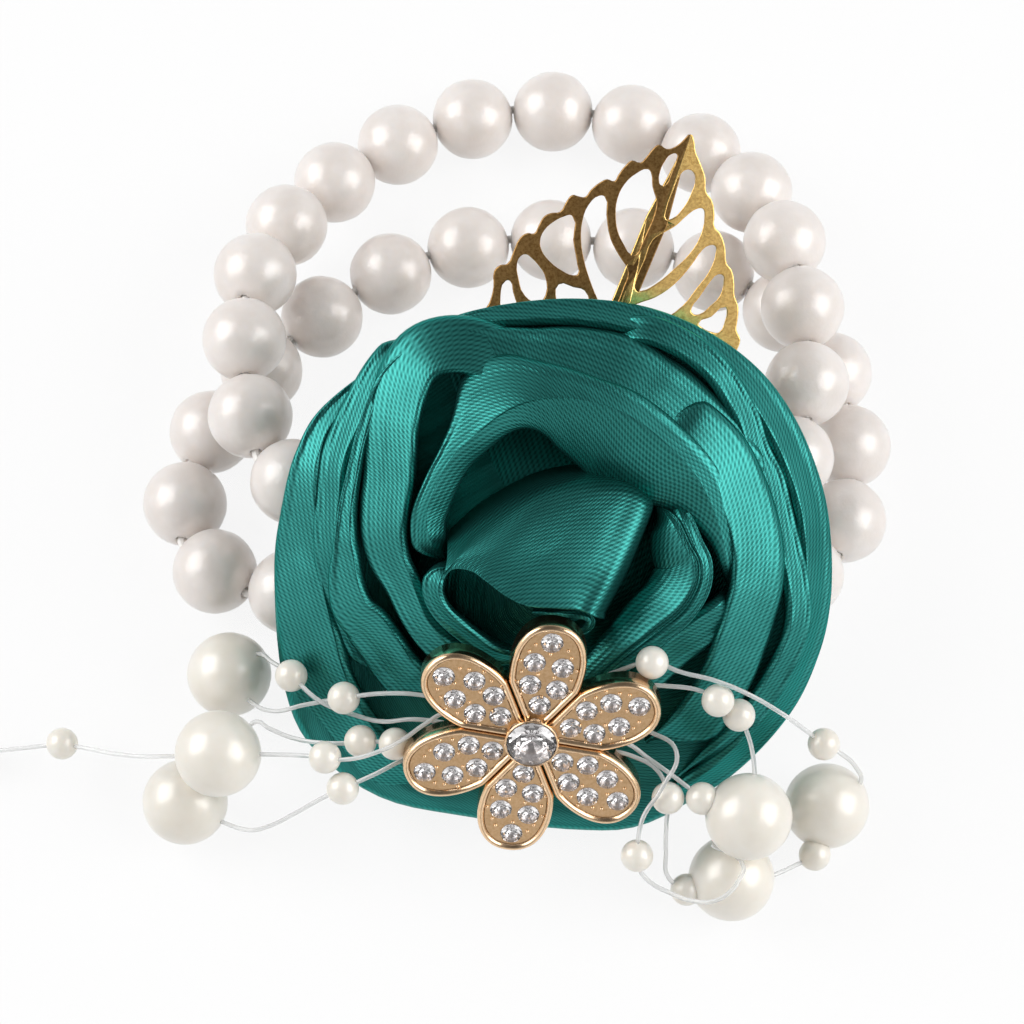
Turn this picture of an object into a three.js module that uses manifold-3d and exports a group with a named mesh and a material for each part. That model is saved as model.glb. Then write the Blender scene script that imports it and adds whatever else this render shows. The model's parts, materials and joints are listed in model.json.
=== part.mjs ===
// Wrist corsage: a satin ribbon rose with a stamped gold leaf, a rhinestone flower charm and pearl sprays,
// glued across two elastic bracelets of imitation pearls. Millimetres, +Z up, the corsage lying on a table.
import * as THREE from "three";
import { mergeVertices } from "three/addons/utils/BufferGeometryUtils.js";
import Module from "manifold-3d";

// Bracelet pearls and their elastic
const PEARL_DIAMETER = 8;
const PEARL_GAP = 0.2;
const ELASTIC_DIAMETER = 0.8;
const BORE_CLEARANCE = 0.3;
const GLUED_PEARLS = 3;
const ROW_GAP = 0.3;
const CROSSING_GAP = 0.1;
const PEARL_SIDES = 10;
const PEARL_RINGS = 6;
const CORD_SIDES = 8;

// Satin rose
const ROSE_RADIUS = 25.6;
const ROSE_BASE_RADIUS = 23;
const ROSE_RIM_HEIGHT = 4.4;
const ROSE_HEIGHT = 16;
const ROSE_EDGE = 3;
const ROSE_RINGS = 28;
const ROSE_SIDES = 96;

// Felt pad behind the pearls
const FELT_WIDTH = 28;
const FELT_HEIGHT = 20;
const FELT_THICKNESS = 1.2;
const FELT_OFFSET = 1.2;
const GLUE_GAP = 0.2;

// Stamped leaf
const LEAF_LENGTH = 33;
const LEAF_HALF_WIDTH = 12.4;
const LEAF_THICKNESS = 0.5;
const LEAF_FOLD = THREE.MathUtils.degToRad(13);
const LEAF_SIDE = 0.6;
const LEAF_GAP = 0.3;
const LEAF_LEAN = THREE.MathUtils.degToRad(22);
const LEAF_RIM = 1.1;
const LEAF_TEETH = 8;
const LEAF_TOOTH = 0.5;
const LEAF_TAIL = 2;
const LEAF_SWELL = 1.12;
const VEIN_WIDTH = 1.1;
const VEIN_SLOPE = 1.15;
const VEIN_COUNT = 5;
const VEIN_START = 0.14;
const VEIN_END = 0.02;
const MIDRIB_WIDTH = 1.3;
const MIDRIB_RISE = 0.2;

// Flower charm
const CHARM_RADIUS = 12.2;
const CHARM_PETALS = 6;
const CHARM_PETAL_WIDTH = 6.9;
const CHARM_THICKNESS = 2.2;
const CHARM_CENTRE = new THREE.Vector2(-1.8, -13);
const CHARM_TILT = THREE.MathUtils.degToRad(21);
const CHARM_TURN = THREE.MathUtils.degToRad(19);
const STONE_DIAMETER = 4.6;
const STONE_HEIGHT = 2.2;
const STONE_RIM = 0.5;
const STONE_SIDES = 12;
const SEAT_GAP = 0.8;

// Spray pearls and their nylon lines
const SPRAY_PEARL_DIAMETER = 8;
const SPRAY_BEAD_DIAMETER = 3;
const LINE_DIAMETER = 0.5;
const LINE_STEP = 4;

// Step by which a search along a line or over the rose moves on
const SEARCH_STEP = 0.05;
const SEAT_STEP = 0.5;

const pearlRadius = PEARL_DIAMETER / 2;
const rowPitch = PEARL_DIAMETER + ROW_GAP;
const padDepth = GLUE_GAP + PEARL_DIAMETER + GLUE_GAP + FELT_THICKNESS;
const padReach = FELT_HEIGHT / 2 - FELT_OFFSET;

// The flower leans back on the pearls: the rose's rim and the felt's edge both touch the table.
const lean = Math.atan2(padDepth, ROSE_BASE_RADIUS - padReach);
const flowerHeight = ROSE_BASE_RADIUS * Math.sin(lean);

const wasm = await Module();
wasm.setup();

function solidOf(geometry) {
  const bare = geometry.index ? geometry.toNonIndexed() : geometry.clone();
  bare.deleteAttribute("normal");
  bare.deleteAttribute("uv");
  const merged = mergeVertices(bare, 1e-4);
  const mesh = new wasm.Mesh({
    numProp: 3,
    vertProperties: new Float32Array(merged.attributes.position.array),
    triVerts: new Uint32Array(merged.index.array),
  });
  return new wasm.Manifold(mesh);
}

function geometryOf(solid) {
  const mesh = solid.getMesh();
  const geometry = new THREE.BufferGeometry();
  geometry.setAttribute("position", new THREE.BufferAttribute(mesh.vertProperties, mesh.numProp));
  geometry.setIndex(new THREE.BufferAttribute(mesh.triVerts, 1));
  return geometry;
}

function joined(geometries) {
  return geometryOf(geometries.map(solidOf).reduce((whole, piece) => whole.add(piece)));
}

function finish(color, roughness, metalness) {
  return new THREE.MeshStandardMaterial({ color, roughness, metalness });
}

const pearlFinish = () => finish(0xf1ece6, 0.3, 0);
const lineFinish = () => finish(0xeef0ee, 0.2, 0);

const corsage = new THREE.Group();
const flower = new THREE.Group();
flower.position.z = flowerHeight;
flower.rotation.x = lean;
corsage.add(flower);

function addMesh(parent, name, geometry, material) {
  const mesh = new THREE.Mesh(geometry, material);
  mesh.name = name;
  parent.add(mesh);
  return mesh;
}

// A pearl turned about its own thread axis, with the bore through it.
function pearlGeometry(diameter, boreRadius) {
  const radius = diameter / 2;
  const mouth = Math.asin(boreRadius / radius);
  const profile = [];
  for (let i = 0; i <= PEARL_RINGS; i++) {
    const angle = mouth + (i / PEARL_RINGS) * (Math.PI - 2 * mouth);
    profile.push(new THREE.Vector2(radius * Math.sin(angle), -radius * Math.cos(angle)));
  }
  profile.push(profile[0].clone());
  return new THREE.LatheGeometry(profile, PEARL_SIDES);
}

// Glued pearls: the short straight run of each row that the felt holds against the rose.
const pearlDrop = -(GLUE_GAP + pearlRadius);
const rowLift = { lower: FELT_OFFSET - rowPitch / 2, upper: FELT_OFFSET + rowPitch / 2 };
const gluedPitch = PEARL_DIAMETER + PEARL_GAP;
const gluedHalf = (GLUED_PEARLS * gluedPitch) / 2;
const elasticRadius = ELASTIC_DIAMETER / 2;

for (const [row, lift] of Object.entries(rowLift)) {
  const beads = [];
  for (let i = 0; i < GLUED_PEARLS; i++) {
    const bead = new THREE.SphereGeometry(pearlRadius, PEARL_SIDES, PEARL_RINGS);
    bead.rotateZ(Math.PI / 2);
    bead.translate((i - (GLUED_PEARLS - 1) / 2) * gluedPitch, 0, 0);
    beads.push(bead);
  }
  const run = (GLUED_PEARLS - 1) * gluedPitch;
  const core = new THREE.CylinderGeometry(elasticRadius, elasticRadius, run, CORD_SIDES);
  core.rotateZ(Math.PI / 2);
  const mesh = addMesh(flower, `${row}_glued_pearls`, joined([...beads, core]), pearlFinish());
  mesh.position.set(0, lift, pearlDrop);
}

// Felt pad glued over the back of the two runs.
const felt = new THREE.Shape();
felt.absellipse(0, 0, FELT_WIDTH / 2, FELT_HEIGHT / 2, 0, Math.PI * 2);
const feltGeometry = new THREE.ExtrudeGeometry(felt, {
  depth: FELT_THICKNESS,
  bevelEnabled: false,
  curveSegments: 40,
});
addMesh(flower, "felt_pad", feltGeometry, finish(0x2a3d36, 0.95, 0)).position.set(0, FELT_OFFSET, -padDepth);

// Satin rose: one ribbon folded round and round a rolled bud. Each fold is a ridge, with an inner face that
// ends in a wall and an outer slope that runs down to the next fold. Ridge points are X and Y as shares of
// the rose's radius, height as a share of its own and, where it isn't the fold's, the inner face's width.
const ROSE_FOLDS = [
  {
    ridge: [
      [-0.44, 0.85, 0.34], [-0.11, 0.93, 0.45], [0.32, 0.89, 0.47], [0.68, 0.68, 0.48], [0.88, 0.31, 0.48],
      [0.92, -0.09, 0.47], [0.79, -0.47, 0.44], [0.6, -0.69, 0.4], [0.36, -0.86, 0.34],
    ],
    face: 0.03, reach: 0.1, fall: 0.21,
  },
  {
    ridge: [
      [0.2, 0.86, 0.42], [0.37, 0.86, 0.54], [0.56, 0.74, 0.56], [0.67, 0.57, 0.57], [0.76, 0.35, 0.57],
      [0.85, 0.01, 0.57], [0.85, -0.21, 0.54], [0.72, -0.46, 0.5], [0.44, -0.78, 0.34],
    ],
    face: 0.02, reach: 0.08, fall: 0.11,
  },
  {
    ridge: [
      [-0.7, 0.68, 0.31], [-0.81, 0.53, 0.45], [-0.85, 0.35, 0.49], [-0.84, 0.09, 0.5], [-0.79, -0.19, 0.51],
      [-0.7, -0.46, 0.49], [-0.54, -0.68, 0.42], [-0.4, -0.82, 0.31],
    ],
    face: 0.03, reach: 0.18, fall: 0.23,
  },
  {
    ridge: [
      [-0.45, 0.87, 0.39], [-0.54, 0.79, 0.5], [-0.65, 0.62, 0.56], [-0.74, 0.42, 0.59], [-0.77, 0.18, 0.6],
      [-0.74, -0.04, 0.59], [-0.66, -0.25, 0.55], [-0.59, -0.37, 0.47],
    ],
    face: 0.02, reach: 0.09, fall: 0.14,
  },
  {
    ridge: [
      [-0.62, 0.54, 0.56], [-0.6, 0.63, 0.62], [-0.5, 0.76, 0.64], [-0.35, 0.82, 0.64], [-0.14, 0.79, 0.68],
      [0.1, 0.73, 0.7], [0.32, 0.63, 0.72], [0.51, 0.5, 0.71], [0.7, 0.36, 0.64], [0.75, 0.29, 0.54],
    ],
    face: 0.03, reach: 0.16, fall: 0.2,
  },
  {
    ridge: [
      [-0.55, 0.14, 0.62], [-0.54, 0.19, 0.76], [-0.5, 0.37, 0.81], [-0.49, 0.57, 0.79], [-0.43, 0.74, 0.74],
      [-0.31, 0.77, 0.72], [-0.14, 0.7, 0.75], [-0.07, 0.66, 0.69],
    ],
    face: 0.02, reach: 0.17, fall: 0.23,
  },
  {
    ridge: [
      [-0.73, 0.24, 0.54], [-0.71, 0.16, 0.64], [-0.69, 0.02, 0.69], [-0.61, -0.12, 0.71], [-0.5, -0.27, 0.71],
      [-0.36, -0.45, 0.6],
    ],
    face: 0.02, reach: 0.16, fall: 0.19,
  },
  {
    ridge: [
      [-0.54, 0.2, 0.62], [-0.53, 0.12, 0.78], [-0.45, -0.09, 0.82], [-0.31, -0.25, 0.81], [-0.12, -0.39, 0.69],
    ],
    face: 0.03, reach: 0.09, fall: 0.15,
  },
  {
    ridge: [
      [-0.37, 0.07, 0.72], [-0.41, 0.15, 0.88, 0.05], [-0.43, 0.29, 0.93, 0.07], [-0.34, 0.48, 0.95, 0.07],
      [-0.2, 0.62, 0.97, 0.07], [-0.04, 0.68, 0.97, 0.13], [0.15, 0.66, 0.97, 0.23], [0.34, 0.56, 0.95, 0.27],
      [0.5, 0.4, 0.9, 0.2], [0.59, 0.23, 0.85, 0.08], [0.62, 0.07, 0.79], [0.63, -0.03, 0.66],
    ],
    face: 0.02, reach: 0.1, fall: 0.19,
  },
  {
    ridge: [
      [0.35, 0.56, 0.75], [0.45, 0.5, 0.81], [0.59, 0.32, 0.8], [0.65, 0.12, 0.79], [0.64, -0.06, 0.78],
      [0.6, -0.19, 0.75], [0.55, -0.32, 0.71], [0.46, -0.48, 0.62], [0.34, -0.61, 0.5],
    ],
    face: 0.02, reach: 0.18, fall: 0.2,
  },
  {
    ridge: [
      [0.63, -0.01, 0.66], [0.61, -0.05, 0.78], [0.45, -0.17, 0.82], [0.29, -0.32, 0.78], [0.18, -0.43, 0.69],
    ],
    face: 0.02, reach: 0.12, fall: 0.15,
  },
  {
    ridge: [
      [0.36, 0.29, 0.72, 0.04], [0.42, 0.24, 0.84, 0.08], [0.5, 0.09, 0.9, 0.13], [0.44, -0.07, 0.91, 0.12],
      [0.24, -0.23, 0.88, 0.08], [0.04, -0.42, 0.75, 0.04],
    ],
    face: 0.04, reach: 0.07, fall: 0.08,
  },
  {
    ridge: [
      [-0.34, 0.09, 1.04], [-0.38, 0.06, 1.04], [-0.36, -0.07, 1], [-0.21, -0.2, 0.95], [-0.04, -0.28, 0.85],
    ],
    face: 0.02, reach: 0.06, fall: 0.11, middle: [-0.16, -0.04],
  },
  {
    ridge: [
      [-0.38, 0.05, 1.05], [-0.28, 0.09, 1.1], [-0.16, 0, 1.12], [0.04, -0.04, 1.11], [0.16, -0.08, 1.04],
    ],
    face: 0.01, reach: 0.32, fall: 0.2, middle: [-0.04, -0.23],
  },
];
const FACE_SLOPE = 0.75;
const WALL_SLOPE = 4;
const SLOPE_CURVE = 1.5;
const ROSE_SINK = 4.2;
const RIM_BULGE = 0.7;

const folds = ROSE_FOLDS.map(({ ridge, face, reach, fall, middle = [0, 0] }) => ({
  ridge: ridge.map(([x, y, height, own = face]) => ({
    place: new THREE.Vector2(x, y).multiplyScalar(ROSE_RADIUS),
    height: height * ROSE_HEIGHT,
    face: own * ROSE_RADIUS,
  })),
  reach: reach * ROSE_RADIUS,
  fall: fall * ROSE_HEIGHT,
  middle: new THREE.Vector2(...middle).multiplyScalar(ROSE_RADIUS),
}));

function foldTop(fold, point) {
  let nearest = { away: Infinity };
  for (let i = 1; i < fold.ridge.length; i++) {
    const start = fold.ridge[i - 1];
    const end = fold.ridge[i];
    const run = end.place.clone().sub(start.place);
    const share = THREE.MathUtils.clamp(point.clone().sub(start.place).dot(run) / run.lengthSq(), 0, 1);
    const away = point.distanceTo(start.place.clone().addScaledVector(run, share));
    if (away >= nearest.away) continue;
    const side = (place) => Math.sign(run.cross(place.clone().sub(start.place)));
    nearest = {
      away,
      outside: side(point) !== side(fold.middle),
      height: THREE.MathUtils.lerp(start.height, end.height, share),
      face: THREE.MathUtils.lerp(start.face, end.face, share),
    };
  }
  const { away, outside, height, face } = nearest;
  const wall = Math.max(0, away - (outside ? fold.reach : face));
  const slope = outside
    ? fold.fall * Math.min(1, away / fold.reach) ** SLOPE_CURVE
    : FACE_SLOPE * Math.min(away, face);
  return height - slope - WALL_SLOPE * wall;
}

function roseTop(x, y) {
  const point = new THREE.Vector2(x, y);
  const radius = point.length();
  const edge = THREE.MathUtils.clamp((ROSE_RADIUS - radius) / ROSE_EDGE, 0, 1);
  const dome = ROSE_HEIGHT - (ROSE_HEIGHT - ROSE_RIM_HEIGHT) * (radius / ROSE_RADIUS) ** 2;
  const top = Math.max(ROSE_RIM_HEIGHT, dome - ROSE_SINK, ...folds.map((fold) => foldTop(fold, point)));
  return THREE.MathUtils.lerp(ROSE_RIM_HEIGHT, top, edge);
}

function roseGeometry(rings, sides) {
  const points = [0, 0, 0];
  const ring = (radius, height) => {
    for (let s = 0; s < sides; s++) {
      const angle = (s / sides) * Math.PI * 2;
      const x = radius * Math.cos(angle);
      const y = radius * Math.sin(angle);
      points.push(x, y, height ?? roseTop(x, y));
    }
  };
  ring(ROSE_BASE_RADIUS, 0);
  ring(THREE.MathUtils.lerp(ROSE_BASE_RADIUS, ROSE_RADIUS, RIM_BULGE), ROSE_RIM_HEIGHT / 2);
  for (let r = 0; r < rings; r++) ring(ROSE_RADIUS * (1 - r / rings));
  points.push(0, 0, roseTop(0, 0));
  const rows = rings + 2;
  const top = points.length / 3 - 1;
  const faces = [];
  for (let s = 0; s < sides; s++) {
    const next = (s + 1) % sides;
    faces.push(0, 1 + next, 1 + s);
    for (let r = 0; r < rows - 1; r++) {
      const low = 1 + r * sides;
      const high = low + sides;
      faces.push(low + s, low + next, high + next, low + s, high + next, high + s);
    }
    const last = 1 + (rows - 1) * sides;
    faces.push(last + s, last + next, top);
  }
  const geometry = new THREE.BufferGeometry();
  geometry.setAttribute("position", new THREE.Float32BufferAttribute(points, 3));
  geometry.setIndex(faces);
  return geometry;
}

addMesh(flower, "satin_rose", roseGeometry(ROSE_RINGS, ROSE_SIDES), finish(0x04594a, 0.45, 0));

// Stamped leaf: each half is cut from sheet with a toothed edge and slots between its side veins,
// and the two halves slope back from the midrib. Measured down from the tip and out from the midrib.
const TOOTH_STEPS = 4;
const TOOTH_POINT = 0.01;
const SLOT_NECK = 0.3;

function leafEdge(down) {
  const tooth = Math.abs(((down / LEAF_LENGTH) * LEAF_TEETH) % 1);
  const swell = Math.sin((Math.PI * down) / (LEAF_LENGTH + LEAF_TAIL)) ** LEAF_SWELL;
  return LEAF_HALF_WIDTH * swell + LEAF_TOOTH * tooth;
}

// Points in order, turned to run the way round that is asked for.
function wound(points, clockwise) {
  return THREE.ShapeUtils.isClockWise(points) === clockwise ? points : [...points].reverse();
}

function leafHalf(side) {
  const steps = LEAF_TEETH * TOOTH_STEPS;
  const edge = [new THREE.Vector2(0, 0)];
  for (let i = 1; i <= steps; i++) {
    const down = (i / steps) * LEAF_LENGTH;
    edge.push(new THREE.Vector2(side * leafEdge(down - TOOTH_POINT), -down));
  }
  edge.push(new THREE.Vector2(0, -LEAF_LENGTH));
  const outline = new THREE.Shape(wound(edge, false));
  const inner = MIDRIB_WIDTH / 2;
  const spacing = (LEAF_LENGTH * (1 - VEIN_START - VEIN_END)) / VEIN_COUNT;
  const veinEnd = (start) => {
    let out = inner;
    while (out < leafEdge(Math.max(0, start - VEIN_SLOPE * out)) - LEAF_RIM) out += SEARCH_STEP;
    return out;
  };
  const at = (start, out) => new THREE.Vector2(side * out, VEIN_SLOPE * out - start);
  for (let k = 0; k < VEIN_COUNT; k++) {
    const near = LEAF_LENGTH * VEIN_START + k * spacing + VEIN_WIDTH / 2;
    const far = near + spacing - VEIN_WIDTH;
    const middle = (near + far) / 2;
    const nearEnd = veinEnd(near);
    const farEnd = veinEnd(far);
    const slot = [
      at(near + VEIN_WIDTH, inner),
      at(near, THREE.MathUtils.lerp(inner, nearEnd, SLOT_NECK)),
      at(near, nearEnd),
      at(middle, veinEnd(middle)),
      at(far, farEnd),
      at(far, THREE.MathUtils.lerp(inner, farEnd, SLOT_NECK)),
      at(far - VEIN_WIDTH / 2, inner),
    ];
    outline.holes.push(new THREE.Path(wound(slot, true)));
  }
  const geometry = new THREE.ExtrudeGeometry(outline, { depth: LEAF_THICKNESS, bevelEnabled: false });
  geometry.rotateY(side * LEAF_FOLD);
  return geometry;
}

const midrib = new THREE.CylinderGeometry(MIDRIB_WIDTH / 2, MIDRIB_WIDTH / 2, LEAF_LENGTH, CORD_SIDES);
midrib.scale(1, 1, (LEAF_THICKNESS + MIDRIB_RISE) / MIDRIB_WIDTH);
midrib.translate(0, -LEAF_LENGTH / 2, LEAF_THICKNESS / 2);
const leafGeometry = joined([leafHalf(1), leafHalf(-1), midrib]);
const leaf = addMesh(flower, "gold_leaf", leafGeometry, finish(0xb8862f, 0.25, 1));
const leafBase = rowLift.upper + pearlRadius + LEAF_GAP;
leaf.rotation.z = -LEAF_LEAN;
leaf.position.set(
  LEAF_SIDE + LEAF_LENGTH * Math.sin(LEAF_LEAN),
  leafBase + LEAF_LENGTH * Math.cos(LEAF_LEAN),
  -(GLUE_GAP + LEAF_THICKNESS + LEAF_GAP),
);

// Flower charm: a cast six-petal flower seated on the rose's lower slope.
const charm = new THREE.Group();
charm.rotation.x = CHARM_TILT;
const charmNormal = new THREE.Vector3(0, -Math.sin(CHARM_TILT), Math.cos(CHARM_TILT));
let charmSeat = -Infinity;
for (let x = -CHARM_RADIUS; x <= CHARM_RADIUS; x += SEAT_STEP) {
  for (let y = -CHARM_RADIUS; y <= CHARM_RADIUS; y += SEAT_STEP) {
    if (Math.hypot(x, y) > CHARM_RADIUS) continue;
    const px = CHARM_CENTRE.x + x;
    const py = CHARM_CENTRE.y + y * Math.cos(CHARM_TILT);
    if (Math.hypot(px, py) > ROSE_RADIUS) continue;
    const height = roseTop(px, py) - ((py - CHARM_CENTRE.y) * charmNormal.y) / -charmNormal.z;
    charmSeat = Math.max(charmSeat, height);
  }
}
charm.position.set(CHARM_CENTRE.x, CHARM_CENTRE.y, charmSeat + SEAT_GAP / Math.cos(CHARM_TILT));
flower.add(charm);

const PETAL_NECK = 0.3;
const PETAL_FLARE = 0.62;
const PETAL_ROUND = 0.7;
const neck = CHARM_RADIUS * PETAL_NECK;
const flare = CHARM_PETAL_WIDTH * PETAL_FLARE;
const round = CHARM_PETAL_WIDTH * PETAL_ROUND;
const petal = new THREE.Shape();
petal.moveTo(0, 0);
petal.bezierCurveTo(neck, flare, CHARM_RADIUS, round, CHARM_RADIUS, 0);
petal.bezierCurveTo(CHARM_RADIUS, -round, neck, -flare, 0, 0);
const petals = [];
for (let i = 0; i < CHARM_PETALS; i++) {
  const geometry = new THREE.ExtrudeGeometry(petal, {
    depth: CHARM_THICKNESS,
    bevelEnabled: false,
    curveSegments: 9,
  });
  geometry.rotateZ(CHARM_TURN + (i / CHARM_PETALS) * Math.PI * 2);
  petals.push(geometry);
}
const bossRadius = STONE_DIAMETER / 2 + STONE_RIM;
const boss = new THREE.CylinderGeometry(bossRadius, bossRadius, CHARM_THICKNESS, STONE_SIDES);
boss.rotateX(Math.PI / 2);
boss.translate(0, 0, CHARM_THICKNESS / 2);
addMesh(charm, "flower_charm", joined([...petals, boss]), finish(0xd9b083, 0.25, 1));

const STONE_GIRDLE = 0.4;
const STONE_TABLE = 0.56;
const stoneProfile = [
  new THREE.Vector2(0, 0),
  new THREE.Vector2(STONE_DIAMETER / 2, 0),
  new THREE.Vector2(STONE_DIAMETER / 2, STONE_HEIGHT * STONE_GIRDLE),
  new THREE.Vector2((STONE_DIAMETER / 2) * STONE_TABLE, STONE_HEIGHT),
  new THREE.Vector2(0, STONE_HEIGHT),
];
const stoneGeometry = new THREE.LatheGeometry(stoneProfile, STONE_SIDES);
stoneGeometry.rotateX(Math.PI / 2);
addMesh(charm, "charm_stone", stoneGeometry, finish(0xf2f4f6, 0.02, 0)).position.z = CHARM_THICKNESS;

// The two bracelet rows: hand-laid lines of the pearl centres, from the right end of the glued run round to
// its left.
// Each point is X, Y and a lift, from 0 for lying on the table to 1 for lying over the other row.
const rest = pearlRadius;
const over = rest + rowPitch + CROSSING_GAP;
const ROW_LINES = {
  upper: [
    [23.4, 10.8, 1], [24.8, 17, 1], [25, 24, 1], [24.6, 30, 1], [23.4, 36, 0.93], [21, 42.4, 0.57],
    [16.8, 48.6, 0.24], [10, 53.4, 0.05], [2, 55.6, 0], [-6, 55.3, 0], [-13.4, 52.6, 0], [-19.8, 48.2, 0.1],
    [-24.6, 42.4, 0.33], [-28, 35.8, 0.69], [-29.6, 28.6, 1], [-29.4, 21.6, 1], [-28.6, 14.6, 1], [-26, 7.8, 1],
  ],
  lower: [
    [24.6, 1.4, 0.19], [28.4, 6.2, 0.07], [29.6, 13, 0.01], [29.4, 20.2, 0], [27.8, 26.8, 0], [23.8, 32.4, 0],
    [18, 36.4, 0], [11.2, 38.9, 0], [4, 40.3, 0], [-3.8, 40.4, 0], [-11, 38.9, 0], [-17.6, 35.6, 0],
    [-23.4, 30.8, 0], [-28.8, 25.2, 0], [-33.4, 18.6, 0], [-36, 11, 0.01], [-34.2, 3.8, 0.06], [-27.6, 0.2, 0.19],
  ],
};

const laid = ([x, y, lift]) => new THREE.Vector3(x, y, THREE.MathUtils.lerp(rest, over, lift));
const LINE_DIVISIONS = 1200;
const CHORD_PASSES = 6;
const frontOf = (row, x) => flower.localToWorld(new THREE.Vector3(x, rowLift[row], pearlDrop));
flower.updateMatrixWorld(true);

function rowLine(row) {
  const points = [0, 0.5, 1].map((share) => frontOf(row, gluedHalf + share * PEARL_DIAMETER));
  points.push(...ROW_LINES[row].map(laid));
  points.push(...[1, 0.5, 0].map((share) => frontOf(row, -gluedHalf - share * PEARL_DIAMETER)));
  const line = new THREE.CatmullRomCurve3(points, false, "centripetal");
  line.arcLengthDivisions = LINE_DIVISIONS;
  return line;
}

// Threads pearls along a line, each straight on its own stretch, opening the spacing where the line bends.
function threadPearls(line, spacing) {
  const length = line.getLength();
  const at = (distance) => line.getPointAt(Math.min(1, distance / length));
  const chord = PEARL_DIAMETER + PEARL_GAP / 2;
  const pearls = [];
  let enter = 0;
  for (;;) {
    let leave = enter + chord;
    for (let i = 0; i < CHORD_PASSES; i++) leave += chord - at(leave).distanceTo(at(enter));
    if (leave > length) return pearls;
    const centre = at(enter).lerp(at(leave), 0.5);
    const before = pearls.at(-1);
    if (before && centre.distanceTo(before.centre) < PEARL_DIAMETER + PEARL_GAP) {
      enter += SEARCH_STEP;
      continue;
    }
    pearls.push({ centre, enter: at(enter), leave: at(leave) });
    enter = leave + spacing;
  }
}

function evenPearls(line) {
  let best = threadPearls(line, PEARL_GAP / 2);
  for (let spacing = PEARL_GAP / 2; spacing < PEARL_DIAMETER; spacing += SEARCH_STEP / 2) {
    const pearls = threadPearls(line, spacing);
    if (pearls.length < best.length) break;
    best = pearls;
  }
  return best;
}

// A line that runs straight between given points, one step to each.
class StraightRuns extends THREE.Curve {
  constructor(points) {
    super();
    this.points = points;
  }
  getPoint(share) {
    const place = share * (this.points.length - 1);
    const first = Math.min(Math.floor(place), this.points.length - 2);
    return this.points[first].clone().lerp(this.points[first + 1], place - first);
  }
  getUtoTmapping(share) {
    return share;
  }
}

function tube(path, diameter, steps) {
  const section = new THREE.Shape();
  for (let i = 0; i < CORD_SIDES; i++) {
    const angle = (i / CORD_SIDES) * Math.PI * 2;
    const x = (diameter / 2) * Math.cos(angle);
    const y = (diameter / 2) * Math.sin(angle);
    if (i === 0) section.moveTo(x, y);
    else section.lineTo(x, y);
  }
  section.closePath();
  return new THREE.ExtrudeGeometry(section, { extrudePath: path, steps });
}

const upAxis = new THREE.Vector3(0, 1, 0);
const pearlForm = pearlGeometry(PEARL_DIAMETER, elasticRadius + BORE_CLEARANCE);
for (const row of ["upper", "lower"]) {
  const pearls = evenPearls(rowLine(row));
  const runs = [];
  for (const pearl of pearls) {
    if (runs.length && runs.at(-1).distanceTo(pearl.enter) < PEARL_GAP * 2) {
      runs.at(-1).lerp(pearl.enter, 0.5);
    } else {
      runs.push(pearl.enter.clone());
    }
    runs.push(pearl.leave.clone());
  }
  const elastic = tube(new StraightRuns(runs), ELASTIC_DIAMETER, runs.length - 1);
  addMesh(corsage, `${row}_elastic`, elastic, lineFinish());
  pearls.forEach((pearl, i) => {
    const name = `${row}_pearl_${String(i + 1).padStart(2, "0")}`;
    const mesh = addMesh(corsage, name, pearlForm.clone(), pearlFinish());
    mesh.position.copy(pearl.centre);
    mesh.quaternion.setFromUnitVectors(upAxis, pearl.leave.clone().sub(pearl.enter).normalize());
  });
}

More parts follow.
